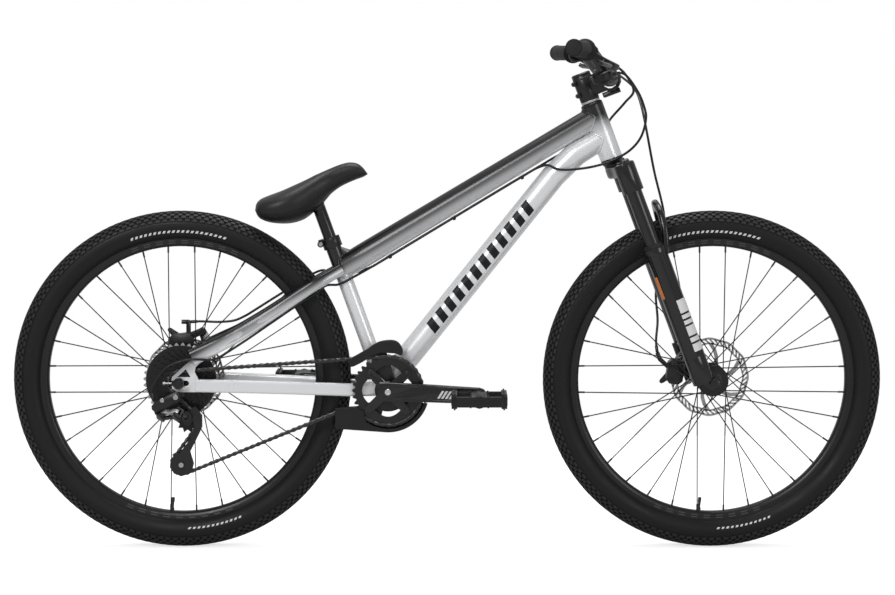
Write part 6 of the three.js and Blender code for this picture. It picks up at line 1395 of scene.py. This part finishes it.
# Points of the routes in millimetres, each from the handlebar on
REAR_BRAKE_ROUTE = [
    (326.8, -166.8, 958.7), (330, -152, 958.4), (345, -128, 946), (364, -90, 914), (350, -50, 891),
    (325, 20, 856), (322, 30, 848), (300, 34, 822), (262, 33, 802), (222, 26, 785), (188, 10, 766),
    (150, 5, 744), (126, 5, 729.7), (2, 5, 655.2), (-128, 5, 576.8), (-150, 5, 563.5), (-180, 20, 552),
    (-205, 38, 548), (-235, 47.5, 546.5), (-250, 54, 553), (-285, 51, 538), (-300, 52, 527),
    (-332, 49, 508), (-364, 50, 488), (-386, 51, 474), (-408, 53, 460.5), (-430, 55, 451),
    (-458, 57, 447.8), (-500, 59, 448.6), (-518.4, 59.5, 447.7),
]
SHIFT_ROUTE = [
    (322.9, -152.1, 946.9), (341, -140, 947), (370, -115, 913), (383, -100, 886), (389, -85, 862),
    (381, -65, 824), (363.5, -50, 800), (339, -42, 783), (309, -36, 770), (268, -32, 761),
    (222, -29, 759), (200, -22, 767), (180, -9, 761.5), (150, -5, 744), (126, -5, 729.7), (2, -5, 655.2),
    (-128, -5, 576.8), (-150, -5, 564), (-185, -16, 545), (-215, -21, 530), (-240, -32, 528.5),
    (-262, -42, 512), (-285, -47, 498.5), (-350, -50, 454.5), (-400, -55, 420.5), (-436, -60, 397.5),
    (-452, -67, 388), (-466, -77, 385), (-480, -82.5, 386), (-510, -84, 386), (-548, -84, 373),
    (-565, -83, 357), (-577, -82, 338), (-582, -81, 322), (-580, -80, 306),
]
# Where the shift housing's last loop parts from the rest, as a piece of its own
DROPOUT_POINT = (-480, -82.5, 386)
# The clips under the top tube: shares of the tube's length, half their width, and how far under its line
CLIP_SHARES = (0.165, 0.42, 0.69)
CLIP_HALF = 0.0095
CLIP_UNDER = 0.0295
FRONT_BRAKE_ROUTE = [
    (326.8, 166.8, 958.7), (330, 152, 958.4), (352, 138, 945), (377, 124, 924), (385, 110, 911),
    (392, 80, 885), (396, 60, 862), (400, 45, 837), (417, 60, 755), (439, 68, 661), (437, 86, 623),
    (432, 94, 565), (425, 88, 501), (427.6, 72, 449), (423.5, 57, 408), (425.3, 50.5, 387.4),
]


def cable(name, path, replaces=()):
    """A cable's housing along a path, on no body, with its place baked into its points."""
    housing = sweep(path, HOUSING_WIDE, sides=14, across=HOUSING_ACROSS)
    piece = add(name, housing, None, HOUSING, edge=NO_EDGE)
    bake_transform(piece)
    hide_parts(*replaces)


def ferrule(path):
    """A short metal sleeve over the first stretch of a path."""
    sleeve = [(0.0028, -0.001), (0.0033, 0), (0.0033, 0.012), (0.0028, 0.013)]
    return turned(sleeve, path[0], path[4] - path[0], 20)


def cables():
    """The three cables and their ferrules; the shift housing's last loop is a piece of its own."""
    rear, shift, front = (spline(np.array(route) * MILLI, ROUTE_STEPS)
                          for route in (REAR_BRAKE_ROUTE, SHIFT_ROUTE, FRONT_BRAKE_ROUTE))
    cable("rear_brake_housing", rear,
          ["frame_cables", "bar_cables"])
    parting = SHIFT_ROUTE.index(DROPOUT_POINT) * ROUTE_STEPS
    cable("shift_housing", shift[:parting + 1])
    cable("derailleur_housing", shift[parting:])
    cable("front_brake_housing", front,
          ["front_brake_cable"])
    add("bar_ferrules", joined(ferrule(rear), ferrule(shift), ferrule(front)), "steered", DARK_STEEL)
    ends = (("frame_ferrule", rear, "chassis"), ("derailleur_ferrule", shift, "frame_knuckle"),
            ("fork_ferrule", front, "fork_slider"))
    for name, path, body in ends:
        add(name, ferrule(path[::-1]), body, DARK_STEEL)
    clips = []
    half = SIDEWAYS * CLIP_HALF
    for share in CLIP_SHARES:
        at = TOP_TUBE_START + (TOP_TUBE_END - TOP_TUBE_START) * share - TOP_TUBE_OVER * CLIP_UNDER
        clips.append(sweep(line(at - half, at + half, 5), 0.007, 0.0075, 16, 3.0, across=TOP_TUBE_RUN))
    add("cable_clips", joined(*clips), "chassis", PLASTIC)


cables()


# Smooth faces for the two chain guides, and the bolts in view

GUIDE_RADIUS = 0.082
# Outlines round the cranks' centre in X and Z, as shares of that radius
UPPER_GUIDE = [
    (-0.978, 0.726), (-0.907, 0.596), (-0.646, 0.695), (-0.415, 0.837), (-0.168, 0.941), (0.168, 0.92),
    (0.329, 0.876), (0.361, 0.959), (0.293, 1.128), (0.168, 1.221), (-0.107, 1.221), (-0.293, 1.16),
    (-0.539, 0.998), (-0.768, 0.866),
]
LOWER_GUIDE = [(-0.4, -0.976), (-1.28, -0.915), (-1.28, -0.415), (-0.77, -0.39), (-0.585, -0.488)]


def guide_walls(outline):
    """The guide's two walls along an outline in X and Z."""
    return joined(plate(outline, -0.0574, -0.0548, 0.0009), plate(outline, -0.0426, -0.0397, 0.0006))


def guides():
    """The upper and the lower guide's walls, with smooth outlines."""
    centre = CRANK[[0, 2]]
    upper = np.array(UPPER_GUIDE + UPPER_GUIDE[:3]) * GUIDE_RADIUS + centre
    curve = spline(np.column_stack([upper, np.zeros(len(upper))]), 6)[6:-12, :2]
    add("upper_guide_walls", guide_walls(curve), "chassis", PLASTIC)
    outer = polar(GUIDE_RADIUS + 0.0003, np.radians(np.linspace(-18, -92, 24)))
    inner = polar(GUIDE_RADIUS * 0.92, np.radians(np.linspace(-125, -18, 32)))
    lower = np.concatenate([outer, np.array(LOWER_GUIDE) * GUIDE_RADIUS, inner]) + centre
    add("lower_guide_walls", guide_walls(lower), "chassis", PLASTIC)


def bolts():
    """The rear axle's cap, the bolt heads of the derailleur and the screws that set the rear axle."""
    nut = [(0.0112, 0.0755), (0.0114, 0.0835), (0.0104, 0.0856), (0.0072, 0.0858), (0.0066, 0.0846),
           (0.001, 0.0846)]
    add("axle_nut", turned(nut, REAR_AXLE, -SIDEWAYS, 48), "chassis", GLOSS_BLACK)
    pulley = TENSION_PULLEY[0] * FORWARD + TENSION_PULLEY[1] * UPWARD - 0.0782 * SIDEWAYS
    add("pulley_bolt", bolt_face(pulley, 0.005), "cage", STEEL)
    heads = [bolt_face(np.array([-0.5345, -0.0952, 0.3125]), 0.0052),
             bolt_face(np.array([-0.561, -0.0952, 0.3065]), 0.0044)]
    add("knuckle_bolts", joined(*heads), "frame_knuckle", STEEL)
    screws = []
    for side in (-1, 1):
        at = REAR_AXLE - 0.031 * FORWARD + side * 0.0757 * SIDEWAYS
        screws += [rod(at, at + 0.004 * FORWARD, 0.0036),
                   rod(at + 0.003 * FORWARD, at + 0.017 * FORWARD, 0.002)]
    add("adjuster_screws", joined(*screws), "chassis", STEEL)


guides()
bolts()


# Floor, light and camera

WHITE = (1, 1, 1, 1)
SKY_STRENGTH = 0.5
FLOOR_GLOW = 0.66
FLOOR_GREY = (0.6, 0.6, 0.6, 1)
FLOOR_CORNERS = [(-3.2, -4.5, 0), (3.2, -4.5, 0), (3.2, 1.6, 0), (-3.2, 1.6, 0)]
CAMERA_DISTANCE = 5.0
CAMERA_ELEVATION = math.radians(4.8)
CAMERA_AIM = Vector((0.001, 0, 0.502))
SEEN_WIDTH = 1.79


def white_to_the_camera(nodes, links, shader, target):
    """Camera and transmission rays see a plain white, and other rays see the given shader."""
    rays = nodes.new("ShaderNodeLightPath")
    either = nodes.new("ShaderNodeMath")
    either.operation = "MAXIMUM"
    links.new(rays.outputs["Is Camera Ray"], either.inputs[0])
    links.new(rays.outputs["Is Transmission Ray"], either.inputs[1])
    white = given(nodes.new("ShaderNodeBackground"), {"Strength": 1.0, "Color": WHITE})
    mixed = nodes.new("ShaderNodeMixShader")
    links.new(either.outputs[0], mixed.inputs[0])
    links.new(shader.outputs[0], mixed.inputs[1])
    links.new(white.outputs[0], mixed.inputs[2])
    links.new(mixed.outputs[0], target.inputs["Surface"])


def world():
    """A soft even sky, seen as white."""
    made = bpy.data.worlds.new("studio")
    made.use_nodes = True
    nodes, links = made.node_tree.nodes, made.node_tree.links
    sky = given(nodes["Background"], {"Color": WHITE, "Strength": SKY_STRENGTH})
    white_to_the_camera(nodes, links, sky, nodes["World Output"])
    bpy.context.scene.world = made


def floor():
    """A plain floor that looks white to the camera but for the bicycle's shadow."""
    mesh = bpy.data.meshes.new("floor")
    mesh.from_pydata(FLOOR_CORNERS, [], [(0, 1, 2, 3)])
    look = bpy.data.materials.new("pale_floor")
    look.use_nodes = True
    nodes, links = look.node_tree.nodes, look.node_tree.links
    shader = given(nodes["Principled BSDF"], {
        "Base Color": FLOOR_GREY, "Roughness": 0.9, "Specular IOR Level": 0.1, "Emission Color": WHITE,
    })
    rays = nodes.new("ShaderNodeLightPath")
    glow = nodes.new("ShaderNodeMath")
    glow.operation = "MULTIPLY"
    glow.inputs[1].default_value = FLOOR_GLOW
    links.new(rays.outputs["Is Camera Ray"], glow.inputs[0])
    links.new(glow.outputs[0], shader.inputs["Emission Strength"])
    mesh.materials.append(look)
    piece = bpy.data.objects.new("floor", mesh)
    bpy.context.scene.collection.objects.link(piece)


def lamp(name, place, aim, size, power):
    """A square soft lamp that points at a place."""
    data = bpy.data.lights.new(name, "AREA")
    data.shape = "SQUARE"
    data.size = size
    data.energy = power
    light = bpy.data.objects.new(name, data)
    light.location = place
    light.rotation_mode = "QUATERNION"
    light.rotation_quaternion = (Vector(aim) - Vector(place)).to_track_quat("-Z", "Y")
    bpy.context.scene.collection.objects.link(light)


def camera():
    """The photograph's view: square to the bicycle's side from 5 m, a little above its middle."""
    data = bpy.data.cameras.new("camera")
    data.sensor_width = 36
    data.lens = data.sensor_width * CAMERA_DISTANCE / SEEN_WIDTH
    seen = bpy.data.objects.new("camera", data)
    towards = Vector((0, -math.cos(CAMERA_ELEVATION), math.sin(CAMERA_ELEVATION)))
    seen.location = CAMERA_AIM + towards * CAMERA_DISTANCE
    seen.rotation_mode = "QUATERNION"
    seen.rotation_quaternion = (CAMERA_AIM - seen.location).to_track_quat("-Z", "Y")
    bpy.context.scene.collection.objects.link(seen)
    bpy.context.scene.camera = seen


world()
floor()
lamp("key", (-1.5, -3.0, 2.4), (0, 0, 0.5), 1.4, 54)
lamp("fill", (2.4, -2.4, 1.4), (0.2, 0, 0.5), 1.2, 18)
lamp("top", (0, 0.3, 3.2), (0, 0, 0), 1.8, 60)
camera()
bpy.context.scene.view_settings.view_transform = "Standard"
